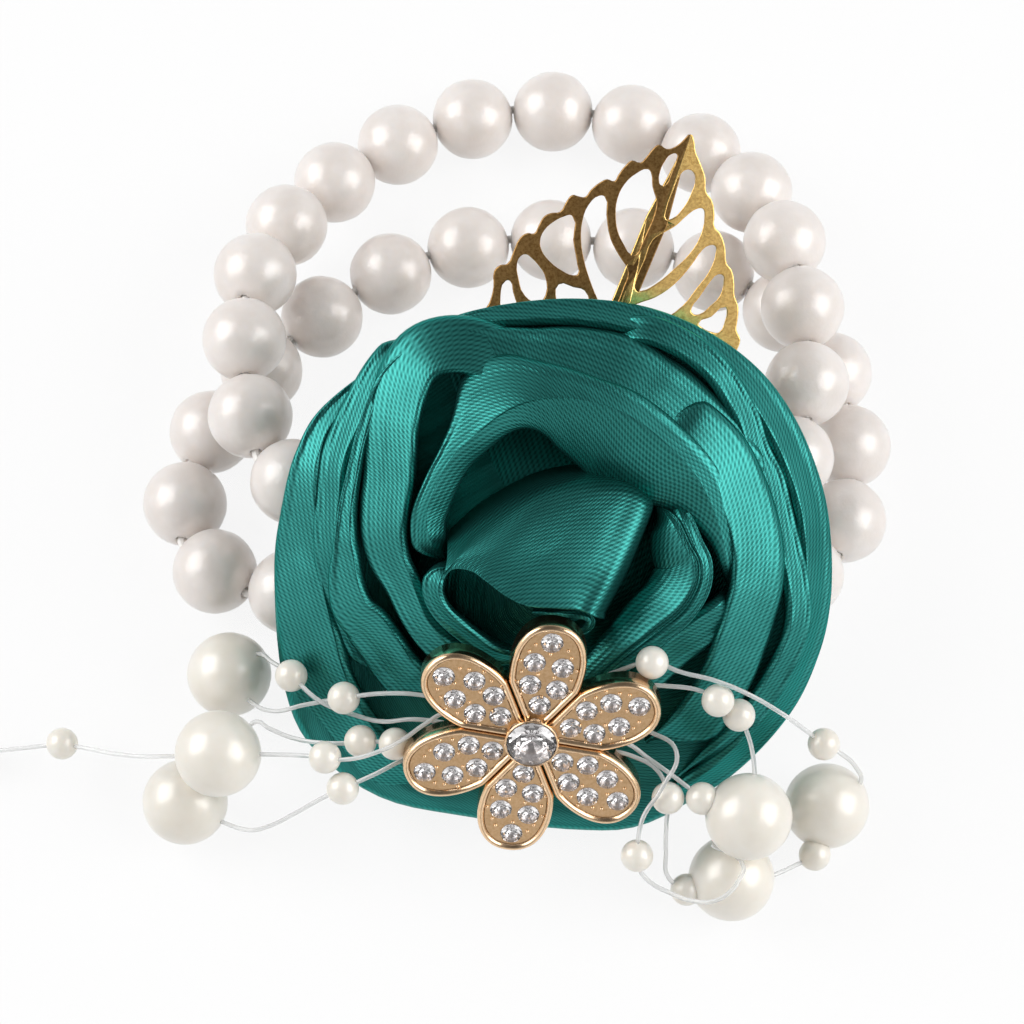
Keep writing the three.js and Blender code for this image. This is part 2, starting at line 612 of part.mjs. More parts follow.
// Pearl sprays: clear nylon lines with small beads and large pearls moulded on, tucked under the charm.
// Each line's points are laid by hand, and a point that carries a pearl or a bead says so.
const SPRAYS = {
  left_near_spray: [
    [-9.5, -16.2, 18.2], [-11.4, -15.7, 18.4], [-15, -15.1, 17.6], [-19, -14.7, 15.6, "bead"],
    [-22.7, -14, 12.4], [-26, -13, 8.6], [-28.2, -11.1, 6.4], [-30.4, -7.7, 5, "pearl"],
    [-27.8, -6.7, 7.4], [-26, -8.8, 10.4], [-24, -11.5, 13.4, "bead"], [-21.1, -14.5, 14.2],
    [-18, -15.8, 14.2], [-15.6, -16.6, 14.6], [-12.6, -16.9, 15.8],
  ],
  left_long_spray: [
    [-9.6, -16.9, 17.2], [-11.5, -17.8, 16.8], [-13.3, -19, 16.4], [-15.7, -20, 15.6],
    [-18.9, -20.3, 14.4], [-20.7, -19.8, 13.7, "bead"], [-23.9, -19.1, 12.6], [-27, -18.7, 11.8],
    [-30.7, -18.4, 11.2, "pearl"], [-34.7, -18.3, 10.4], [-38.7, -17.5, 8.5], [-44.1, -15.5, 5.8],
    [-45.9, -14.8, 5, "bead"], [-47.7, -14.7, 4.2], [-52.1, -14.5, 2.6], [-54.6, -14.5, 2, "bead"],
    [-57, -14.4, 1.6],
  ],
  left_low_spray: [
    [-9.3, -19.1, 13], [-11.3, -19, 12.9], [-13.5, -19.7, 12.9], [-16, -21.1, 13],
    [-19.1, -22.1, 11.8, "bead"], [-21.1, -22.6, 10.6], [-23.5, -23.2, 8.6], [-26.2, -23.7, 6.4],
    [-28.1, -23.5, 5], [-30.6, -22.4, 4.2], [-34.2, -20.3, 4, "pearl"], [-31.3, -18.9, 4.6],
    [-29.7, -16.9, 4.8], [-28.8, -14.5, 5.6], [-27.8, -13.5, 7], [-26.1, -15, 9], [-23.6, -16.9, 11.2],
    [-21.2, -17.8, 12.4], [-18.8, -18, 12.8], [-17.5, -17.9, 13, "bead"], [-14.3, -18.5, 13.8, "bead"],
    [-12.3, -18.8, 13.6],
  ],
  right_long_spray: [
    [0.9, -15.4, 19.4], [3.4, -15.1, 20], [5.9, -14, 20], [9.1, -13.8, 21.6, "bead"], [11.8, -14.6, 21.2],
    [14.6, -15.3, 21.1], [17.6, -16.2, 20.2], [20.7, -17, 17.8], [23.7, -17.6, 14.2],
    [25.1, -18.1, 12.8, "bead"], [26.8, -18.2, 10.8], [28.3, -18.6, 8.6], [28.9, -19.3, 6.2],
    [25.9, -20.7, 4, "pearl"], [25.8, -23.7, 3.4], [24.7, -25.2, 3, "bead"], [23, -26.2, 3.1],
    [20.1, -27.6, 3.6], [16.8, -27.9, 4, "pearl"], [14.2, -29.4, 3.6], [12.6, -29.1, 4.2, "bead"],
    [10.9, -28.4, 5.5], [10.6, -26.8, 8], [10.6, -25, 10.2], [10.7, -23.2, 12.2, "bead"],
    [9.8, -21, 13.3], [7.6, -19.9, 14.1],
  ],
  right_near_spray: [
    [2.3, -16.1, 18.3], [4.6, -15.4, 18.9], [7.4, -15.1, 19.3], [10.7, -15.3, 19.7], [13.7, -15.7, 19.4],
    [15.1, -16.5, 19.2, "bead"], [17.1, -17, 17, "bead"], [17.9, -18.3, 15.8], [18.4, -19.9, 14.8],
    [18.6, -21.8, 13.4], [18.1, -24.7, 11.4, "pearl"], [15.4, -24.4, 11.6], [14.7, -24, 12],
    [13.8, -23.4, 12.6, "bead"], [12, -22.2, 13.4], [8.9, -20, 14], [6.8, -19, 15.2],
  ],
  right_low_spray: [
    [3, -16.3, 17], [5, -16.7, 16.4], [6.8, -17.2, 15.8], [8.9, -18, 15.6], [11.4, -20, 15.6],
    [10, -23.2, 14.4], [8.4, -25.1, 12.2], [8, -26.5, 10.6], [7.9, -27.6, 9, "bead"], [8.2, -28.5, 7.6],
    [9.2, -29.4, 6.8], [10.9, -30.4, 6.9], [12.8, -31.5, 7.8], [14.8, -31.9, 8.6], [16.3, -31.2, 9.1],
    [17.3, -29.8, 9.1], [17.6, -28.4, 8.9],
  ],
};

const MOULDINGS = { pearl: SPRAY_PEARL_DIAMETER, bead: SPRAY_BEAD_DIAMETER };
for (const [name, route] of Object.entries(SPRAYS)) {
  const places = route.map(([x, y, z]) => new THREE.Vector3(x, y, z));
  const line = new THREE.CatmullRomCurve3(places, false, "centripetal");
  const pieces = [tube(line, LINE_DIAMETER, Math.round(line.getLength() / LINE_STEP))];
  route.forEach(([x, y, z, moulding]) => {
    if (!moulding) return;
    const ball = new THREE.SphereGeometry(MOULDINGS[moulding] / 2, PEARL_SIDES, PEARL_RINGS);
    pieces.push(ball.translate(x, y, z));
  });
  addMesh(corsage, name, joined(pieces), lineFinish());
}

// The origin is at the middle of the underside of all but the free sprays.
const body = new THREE.Box3();
corsage.updateMatrixWorld(true);
corsage.traverse((piece) => {
  if (piece.isMesh && !(piece.name in SPRAYS)) body.expandByObject(piece, true);
});
const middle = body.getCenter(new THREE.Vector3());
corsage.position.set(-middle.x, -middle.y, -body.min.z);

export default corsage;
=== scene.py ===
import json
from math import asin, cos, pi, radians, sin, tan

import bpy
from mathutils import Matrix, Vector, noise
from mathutils.geometry import delaunay_2d_cdt


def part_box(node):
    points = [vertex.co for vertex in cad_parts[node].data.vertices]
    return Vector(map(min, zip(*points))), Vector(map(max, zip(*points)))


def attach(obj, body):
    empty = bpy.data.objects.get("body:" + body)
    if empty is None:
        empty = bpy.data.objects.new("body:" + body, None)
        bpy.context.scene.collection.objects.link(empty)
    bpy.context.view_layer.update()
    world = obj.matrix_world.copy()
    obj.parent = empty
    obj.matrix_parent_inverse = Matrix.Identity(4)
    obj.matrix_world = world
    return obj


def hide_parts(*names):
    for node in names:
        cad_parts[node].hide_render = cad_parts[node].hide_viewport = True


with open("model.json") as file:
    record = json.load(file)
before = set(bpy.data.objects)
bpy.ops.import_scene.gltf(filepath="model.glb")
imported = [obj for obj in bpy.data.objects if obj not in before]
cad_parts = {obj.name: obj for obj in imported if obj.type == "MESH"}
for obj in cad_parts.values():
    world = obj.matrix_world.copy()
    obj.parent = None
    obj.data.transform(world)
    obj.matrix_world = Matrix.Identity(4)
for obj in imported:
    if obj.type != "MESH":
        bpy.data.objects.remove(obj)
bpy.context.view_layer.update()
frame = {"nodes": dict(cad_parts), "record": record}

# The table and the camera. The corsage lies on a table, its flower leaning back on the bracelet rows,
# and is seen from the front and well above through a long lens. The flower's own plane comes from its
# felt pad, and every place below is in millimetres on the table or on that plane.
MM = 0.001
PAD_DEPTH = 9.6
PAD_OFFSET = 1.2
ROSE_FOOT_RADIUS = 23
pad = frame["record"]["mounts"][0]
right = Vector((1, 0, 0))
facing = -Vector(pad["axis"])
uphill = facing.cross(right)
rose_foot = Vector(pad["pos_m"]) + (PAD_DEPTH * facing - PAD_OFFSET * uphill) * MM
table_point = rose_foot - Vector((0, 0, ROSE_FOOT_RADIUS * uphill.z * MM))


def on_table(x, y, z):
    return table_point + Vector((x, y, z)) * MM


def on_flower(x, y, z):
    return rose_foot + (x * right + y * uphill + z * facing) * MM


def new_object(name, data):
    made = bpy.data.objects.new(name, data)
    bpy.context.scene.collection.objects.link(made)
    return made


VIEW_ANGLE = radians(64)
VIEW_DISTANCE = 370
VIEW_LENS = 138.5
VIEW_TARGET = (-3.57, 4.48, 15.18)
CLIP_START = 0.01
view_back = Vector((0, -cos(VIEW_ANGLE), sin(VIEW_ANGLE)))
camera = new_object("camera", bpy.data.cameras.new("camera"))
camera.data.lens = VIEW_LENS
camera.data.clip_start = CLIP_START
camera.location = on_table(*VIEW_TARGET) + view_back * VIEW_DISTANCE * MM
camera.rotation_euler = view_back.to_track_quat("Z", "Y").to_euler()
bpy.context.scene.camera = camera
bpy.context.scene.view_settings.view_transform = "Standard"

# Pearl sprays: clear nylon lines with ivory pearls and small beads moulded on, glued under the charm.
# Each line goes out over the rose, carries its pearls down to the table and comes back under the charm;
# the long left one runs out to its last bead.
LINE_DIAMETER = 0.42
SPRAY_PEARL = 8
SPRAY_BEAD = 3
BALL_RINGS = 28
BALL_SIDES = 40
BALL_END = 0.02
UNDER_CHARM = (-1.8, -18.3, 16.1)
TUCK = 3.4
SPRAYS = {
    "left_near_spray": [
        (-9.5, -16.2, 18.2), (-11.4, -15.7, 18.4), (-15, -15.1, 17.6), (-19, -14.7, 15.6, "bead"),
        (-22.7, -14, 12.4), (-26, -13, 8.6), (-28.2, -11.1, 6.4), (-30.4, -7.7, 5, "pearl"), (-27.8, -6.7, 7.4),
        (-26, -8.8, 10.4), (-24, -11.5, 13.4, "bead"), (-21.1, -14.5, 14.2), (-18, -15.8, 14.2),
        (-15.6, -16.6, 14.6), (-12.6, -16.9, 15.8),
    ],
    "left_long_spray": [
        (-9.6, -16.9, 17.2), (-11.5, -17.8, 16.8), (-13.3, -19, 16.4), (-15.7, -20, 15.6), (-18.9, -20.3, 14.4),
        (-20.7, -19.8, 13.7, "bead"), (-23.9, -19.1, 12.6), (-27, -18.7, 11.8), (-30.7, -18.4, 11.2, "pearl"),
        (-34.7, -18.3, 10.4), (-38.7, -17.5, 8.5), (-44.1, -15.5, 5.8), (-45.9, -14.8, 5, "bead"),
        (-47.7, -14.7, 4.2), (-52.1, -14.5, 2.6), (-54.6, -14.5, 2, "bead"), (-57, -14.4, 1.6),
    ],
    "left_low_spray": [
        (-9.3, -19.1, 13), (-11.3, -19, 12.9), (-13.5, -19.7, 12.9), (-16, -21.1, 13),
        (-19.1, -22.1, 11.8, "bead"), (-21.1, -22.6, 10.6), (-23.5, -23.2, 8.6), (-26.2, -23.7, 6.4),
        (-28.1, -23.5, 5), (-30.6, -22.4, 4.2), (-34.2, -20.3, 4, "pearl"), (-31.3, -18.9, 4.6),
        (-29.7, -16.9, 4.8), (-28.8, -14.5, 5.6), (-27.8, -13.5, 7), (-26.1, -15, 9), (-23.6, -16.9, 11.2),
        (-21.2, -17.8, 12.4), (-18.8, -18, 12.8), (-17.5, -17.9, 13, "bead"), (-14.3, -18.5, 13.8, "bead"),
        (-12.3, -18.8, 13.6),
    ],
    "right_long_spray": [
        (0.9, -15.4, 19.4), (3.4, -15.1, 20), (5.9, -14, 20), (9.1, -13.8, 21.6, "bead"), (11.8, -14.6, 21.2),
        (14.6, -15.3, 21.1), (17.6, -16.2, 20.2), (20.7, -17, 17.8), (23.7, -17.6, 14.2),
        (25.1, -18.1, 12.8, "bead"), (26.8, -18.2, 10.8), (28.3, -18.6, 8.6), (28.9, -19.3, 6.2),
        (25.9, -20.7, 4, "pearl"), (25.8, -23.7, 3.4), (24.7, -25.2, 3, "bead"), (23, -26.2, 3.1),
        (20.1, -27.6, 3.6), (16.8, -27.9, 4, "pearl"), (14.2, -29.4, 3.6), (12.6, -29.1, 4.2, "bead"),
        (10.9, -28.4, 5.5), (10.6, -26.8, 8), (10.6, -25, 10.2), (10.7, -23.2, 12.2, "bead"), (9.8, -21, 13.3),
        (7.6, -19.9, 14.1),
    ],
    "right_near_spray": [
        (2.3, -16.1, 18.3), (4.6, -15.4, 18.9), (7.4, -15.1, 19.3), (10.7, -15.3, 19.7), (13.7, -15.7, 19.4),
        (15.1, -16.5, 19.2, "bead"), (17.1, -17, 17, "bead"), (17.9, -18.3, 15.8), (18.4, -19.9, 14.8),
        (18.6, -21.8, 13.4), (18.1, -24.7, 11.4, "pearl"), (15.4, -24.4, 11.6), (14.7, -24, 12),
        (13.8, -23.4, 12.6, "bead"), (12, -22.2, 13.4), (8.9, -20, 14), (6.8, -19, 15.2),
    ],
    "right_low_spray": [
        (3, -16.3, 17), (5, -16.7, 16.4), (6.8, -17.2, 15.8), (8.9, -18, 15.6), (11.4, -20, 15.6),
        (10, -23.2, 14.4), (8.4, -25.1, 12.2), (8, -26.5, 10.6), (7.9, -27.6, 9, "bead"), (8.2, -28.5, 7.6),
        (9.2, -29.4, 6.8), (10.9, -30.4, 6.9), (12.8, -31.5, 7.8), (14.8, -31.9, 8.6), (16.3, -31.2, 9.1),
        (17.3, -29.8, 9.1), (17.6, -28.4, 8.9),
    ],
}


def feed(tree, node, inputs):
    """Fills a node's inputs, by name or place, with values, an output or another node's first output."""
    for key, source in inputs.items():
        socket = node.inputs[key if isinstance(key, int) else key.replace("_", " ")]
        if isinstance(source, bpy.types.Node):
            source = source.outputs[0]
        if isinstance(source, bpy.types.NodeSocket):
            tree.links.new(source, socket)
        else:
            socket.default_value = source


def new_material(name, color, roughness, metallic=0.0, **inputs):
    material = bpy.data.materials.new(name)
    material.use_nodes = True
    tree = material.node_tree
    shader = tree.nodes["Principled BSDF"]
    feed(tree, shader, dict(Base_Color=(*color, 1), Roughness=roughness, Metallic=metallic, **inputs))
    return material, tree, shader


def add_node(tree, kind, *feeds, **values):
    """Adds a node; feeds fill its inputs in order, values its settings or the inputs of that name."""
    node = tree.nodes.new(kind)
    inputs = dict(enumerate(feeds))
    for key, value in values.items():
        if hasattr(node, key):
            setattr(node, key, value)
        else:
            inputs[key] = value
    feed(tree, node, inputs)
    return node


def add_noise(tree, scale, detail, roughness=0.5):
    """A noise that stays with its piece, with a scale in waves to the metre."""
    place = add_node(tree, "ShaderNodeTexCoord").outputs["Object"]
    return add_node(tree, "ShaderNodeTexNoise", Vector=place, Scale=scale, Detail=detail, Roughness=roughness)


def add_ramp(tree, share, *stops):
    """A colour that goes with a share between two stops, each a place and a colour."""
    ramp = add_node(tree, "ShaderNodeValToRGB", share)
    for element, (place, color) in zip(ramp.color_ramp.elements, stops):
        element.position = place
        element.color = (*color, 1)
    return ramp


def grained_finish(name, color, roughness, metallic=0.0, *, grain, tones=None, **inputs):
    """A finish with a grain in relief, and with two tones by a noise where tones are given."""
    material, tree, shader = new_material(name, color, roughness, metallic, **inputs)
    if tones:
        cloud, *stops = tones
        feed(tree, shader, dict(Base_Color=add_ramp(tree, add_noise(tree, *cloud), *stops)))
    waves, strength, depth = grain
    relief = add_noise(tree, *waves)
    bump = add_node(tree, "ShaderNodeBump", Height=relief, Strength=strength, Distance=depth * MM)
    feed(tree, shader, dict(Normal=bump))
    return material


def pearl_finish(name, pale, deep, crinkles):
    """A pearl coating: cloudy colour, a soft shine, a crinkle that breaks it up and a thin clear gloss."""
    return grained_finish(
        name, pale, 0.3, 0.06, grain=((850, 4, 0.6), crinkles, 0.1),
        tones=((230, 3, 0.6), (0.3, deep), (0.65, pale)), Specular_IOR_Level=0.75,
        Subsurface_Weight=0.35, Subsurface_Radius=(1.0, 0.85, 0.7), Subsurface_Scale=0.0015,
        Coat_Weight=0.25, Coat_Roughness=0.18, Sheen_Weight=0.25, Sheen_Roughness=0.5,
    )


def new_piece(name, points, faces, material, smooth=True):
    mesh = bpy.data.meshes.new(name)
    mesh.from_pydata([tuple(p) for p in points], [], faces)
    mesh.materials.append(material)
    for face in mesh.polygons:
        face.use_smooth = smooth
    return new_object(name, mesh)


def stitched(rings, sides, first=0, inward=False):
    """Faces between closed rings of points that follow one another."""
    faces = []
    for r in range(rings - 1):
        low, high = first + r * sides, first + (r + 1) * sides
        for s in range(sides):
            here, after = (s, (s + 1) % sides) if not inward else ((s + 1) % sides, s)
            faces.append((low + here, low + after, high + after, high + here))
    return faces


def ring(radius, sides):
    turns = [2 * pi * s / sides for s in range(sides)]
    return [(radius * cos(turn), radius * sin(turn)) for turn in turns]


def gathered(parts):
    """One list of points and one of faces from several parts' points and faces."""
    points, faces = [], []
    for part_points, part_faces in parts:
        faces += [tuple(k + len(points) for k in face) for face in part_faces]
        points += part_points
    return points, faces


def turned(profile, centre, axis, sides):
    """A surface turned about an axis from (radius, height) pairs that run from one end to the other."""
    turn = Vector((0, 0, 1)).rotation_difference(axis).to_matrix()
    points = []
    for radius, height in profile:
        points += [centre + turn @ (Vector((x, y, height)) * MM) for x, y in ring(radius, sides)]
    return points, stitched(len(profile), sides)


def moulded_ball(diameter):
    """A ball's profile from end to end."""
    shares = [(r + BALL_END) / (BALL_RINGS + 2 * BALL_END) for r in range(BALL_RINGS + 1)]
    return [(diameter / 2 * sin(pi * share), -diameter / 2 * cos(pi * share)) for share in shares]


def add_spline(curve, places, closed=False):
    spline = curve.splines.new("BEZIER")
    spline.use_cyclic_u = closed
    spline.bezier_points.add(len(places) - 1)
    for knot, place in zip(spline.bezier_points, places):
        knot.co = place
        knot.handle_left_type = knot.handle_right_type = "AUTO"
    return spline


nylon = grained_finish(
    "clear_nylon", (0.96, 0.965, 0.96), 0.12, grain=((900, 2), 0.1, 0.05), Transmission_Weight=0.6, IOR=1.5
)
ivory = pearl_finish("ivory_pearl", (0.90, 0.86, 0.785), (0.84, 0.79, 0.70), 0.15)
for name, route in SPRAYS.items():
    places = [on_table(*stop[:3]) for stop in route]
    ends = places[:1] if name == "left_long_spray" else [places[0], places[-1]]
    tucked = [end + (on_table(*UNDER_CHARM) - end).normalized() * TUCK * MM for end in ends]
    stops = [tucked[0], *places, *tucked[1:]]
    curve = bpy.data.curves.new(name + "_line", "CURVE")
    curve.dimensions = "3D"
    curve.bevel_depth = LINE_DIAMETER / 2 * MM
    curve.bevel_resolution = 3
    curve.resolution_u = 8
    curve.use_fill_caps = True
    spline = add_spline(curve, stops)
    curve.materials.append(nylon)
    line = new_object(name + "_line", curve)
    for kind, diameter in (("pearl", SPRAY_PEARL), ("bead", SPRAY_BEAD)):
        moulded = []
        for i, stop in enumerate(route):
            if stop[-1] == kind:
                run = places[min(i + 1, len(route) - 1)] - places[max(i - 1, 0)]
                moulded.append(turned(moulded_ball(diameter), places[i], run.normalized(), BALL_SIDES))
        if moulded:
            balls = new_piece(f"{name}_{kind}s", *gathered(moulded), ivory)
            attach(balls, "flower")
    bpy.context.view_layer.update()
    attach(line, "flower")
    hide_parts(name)

# Bracelet pearls: imitation pearls with a pinkish coating that has crinkled a little, bored and threaded
# on clear elastic. The middle ones of each row are glued behind the rose, the rest turn on the elastic.
PEARL = 8.2
BORE = 1.1
BORE_WALL = [(0.95, 0.8), (0.97, 0.95)]
MOUTH_ROUND = 0.06
GLUED_PITCH = 8.2
PEARL_RINGS = 22
PEARL_SIDES = 40
FORMS = 4
CRINKLE = 0.05
CRINKLE_WAVES = [(420, 1), (1100, 0.5)]
CRINKLE_STEP = Vector((7.3, 3.1, 5.7))
PEARL_TURN = 2.4


def pearl_form(seed):
    """A bored ball, a little out of round, with its bore's rounded mouths at the ends of its Z axis."""
    radius, hole = PEARL / 2, BORE / 2
    mouth = asin(hole / radius) + MOUTH_ROUND
    profile = [(hole * reach, -radius * share) for reach, share in BORE_WALL]
    for r in range(PEARL_RINGS + 1):
        angle = mouth + (pi - 2 * mouth) * r / PEARL_RINGS
        profile.append((radius * sin(angle), -radius * cos(angle)))
    profile += [(hole * reach, radius * share) for reach, share in reversed(BORE_WALL)]
    points, faces = turned(profile, Vector(), Vector((0, 0, 1)), PEARL_SIDES)
    offset = seed * CRINKLE_STEP
    for point in points:
        wave = sum(share * noise.noise(point * scale + offset) for scale, share in CRINKLE_WAVES)
        point += point.normalized() * CRINKLE * (wave - 0.5) * MM
    return points, faces


pearl_coat = pearl_finish("pink_pearl", (0.89, 0.835, 0.80), (0.80, 0.735, 0.69), 0.55)
forms = []
for seed in range(FORMS):
    sample = new_piece(f"pearl_form_{seed}", *pearl_form(seed), pearl_coat)
    forms.append(sample.data)
    bpy.data.objects.remove(sample)


def place_pearl(name, index, centre, axis, body):
    pearl = new_object(name, forms[index % FORMS])
    spin = Matrix.Rotation(index * PEARL_TURN, 3, "Z").to_quaternion()
    turn = Vector((0, 0, 1)).rotation_difference(axis) @ spin
    pearl.matrix_world = Matrix.Translation(centre) @ turn.to_matrix().to_4x4()
    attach(pearl, body)
    return pearl


spins = [joint for joint in frame["record"]["behaviour"]["joints"] if joint["name"].endswith("_spin")]
for index, joint in enumerate(spins):
    node = joint["child"]
    pearl = place_pearl("turning_" + node, index, Vector(joint["pos_m"]), Vector(joint["axis"]), node)
    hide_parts(node)

for row in ("upper", "lower"):
    low, high = (Vector(corner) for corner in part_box(f"{row}_glued_pearls"))
    for index in (-1, 0, 1):
        centre = (low + high) / 2 + right * index * GLUED_PITCH * MM
        place_pearl(f"{row}_glued_pearl_{index + 2}", index + 2, centre, right, "flower")
    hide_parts(f"{row}_glued_pearls")

# Elastic: a clear stretch cord of fine strands runs through the bores of each row's pearls and is knotted behind
# the rose. It is seen only in the small gaps between the pearls.
elastic = grained_finish("clear_elastic", (0.95, 0.93, 0.90), 0.3, grain=((2500, 2), 0.3, 0.1), Sheen_Weight=0.3)
for row in ("upper", "lower"):
    frame["nodes"][f"{row}_elastic"].data.materials.clear()
    frame["nodes"][f"{row}_elastic"].data.materials.append(elastic)

# Felt pad: an oval cut from dark green wool felt, with a soft, fibrous edge. It is glued over the backs of the
# pearls behind the rose, so that they don't press on the wrist.
FELT_WIDTH = 28
FELT_HEIGHT = 20
FELT_THICKNESS = 1.2
FELT_SIDES = 96
FELT_RINGS = 14
FELT_EDGE = [(1.01, 0.25), (1.015, 0.5), (1.01, 0.75)]
FELT_FUZZ = 0.07
FUZZ_WAVES = Vector((1.7, 1.7, 9))


def felt_pad():
    flat = [r / FELT_RINGS for r in range(1, FELT_RINGS + 1)]
    rows = [(reach, 0.0) for reach in flat] + FELT_EDGE + [(reach, 1.0) for reach in reversed(flat)]
    points = []
    for reach, share in rows:
        for x, y in ring(reach / 2, FELT_SIDES):
            x, y = x * FELT_WIDTH, y * FELT_HEIGHT
            fuzz = FELT_FUZZ * noise.noise(Vector((x, y, share)) * FUZZ_WAVES)
            lift = -PAD_DEPTH + FELT_THICKNESS * share + (fuzz if share < 0.9 else -abs(fuzz))
            points.append(on_flower(x, y + PAD_OFFSET, lift))
    back, front = range(FELT_SIDES - 1, -1, -1), range(len(points) - FELT_SIDES, len(points))
    return points, [tuple(back), *stitched(len(rows), FELT_SIDES), tuple(front)]


wool = grained_finish(
    "green_felt", (0.012, 0.05, 0.04), 0.95, grain=((1800, 6, 0.75), 0.9, 0.3),
    tones=((1800, 6, 0.75), (0, (0.005, 0.025, 0.02)), (1, (0.02, 0.085, 0.066))),
    Specular_IOR_Level=0.1, Sheen_Weight=0.2, Sheen_Roughness=0.6, Sheen_Tint=(0.1, 0.35, 0.28, 1),
)
felt = new_piece("felt_oval", *felt_pad(), wool)
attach(felt, "flower")
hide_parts("felt_pad")

# Rose: emerald satin ribbon folded on the bias round a rolled bud, each turn laid over the last so that its
# folded edge stands up as a ridge, with the ribbon sloping away outside it and falling into shade inside it.
# It is stitched through at the back and glued on the middle pearls of both rows.
OUTLINE = [
    (-11.6, 22.6), (-7.4, 24.3), (0, 25.5), (6.1, 25), (11.4, 23.5), (15.8, 21.3), (19.4, 18.7), (22.1, 15.1),
    (23.9, 11), (25.4, 5.7), (26, 0.4), (26, -3.7), (24.5, -8.7), (22, -13.9), (16.7, -19.9), (9.1, -24.6),
    (1.9, -25.1), (-8.3, -23.8), (-16.4, -21.9), (-22.8, -17), (-25.3, -11.2), (-26.1, -3.4), (-25.8, 2.9),
    (-24.2, 9.1), (-22.2, 13.9), (-16.9, 18.4),
]
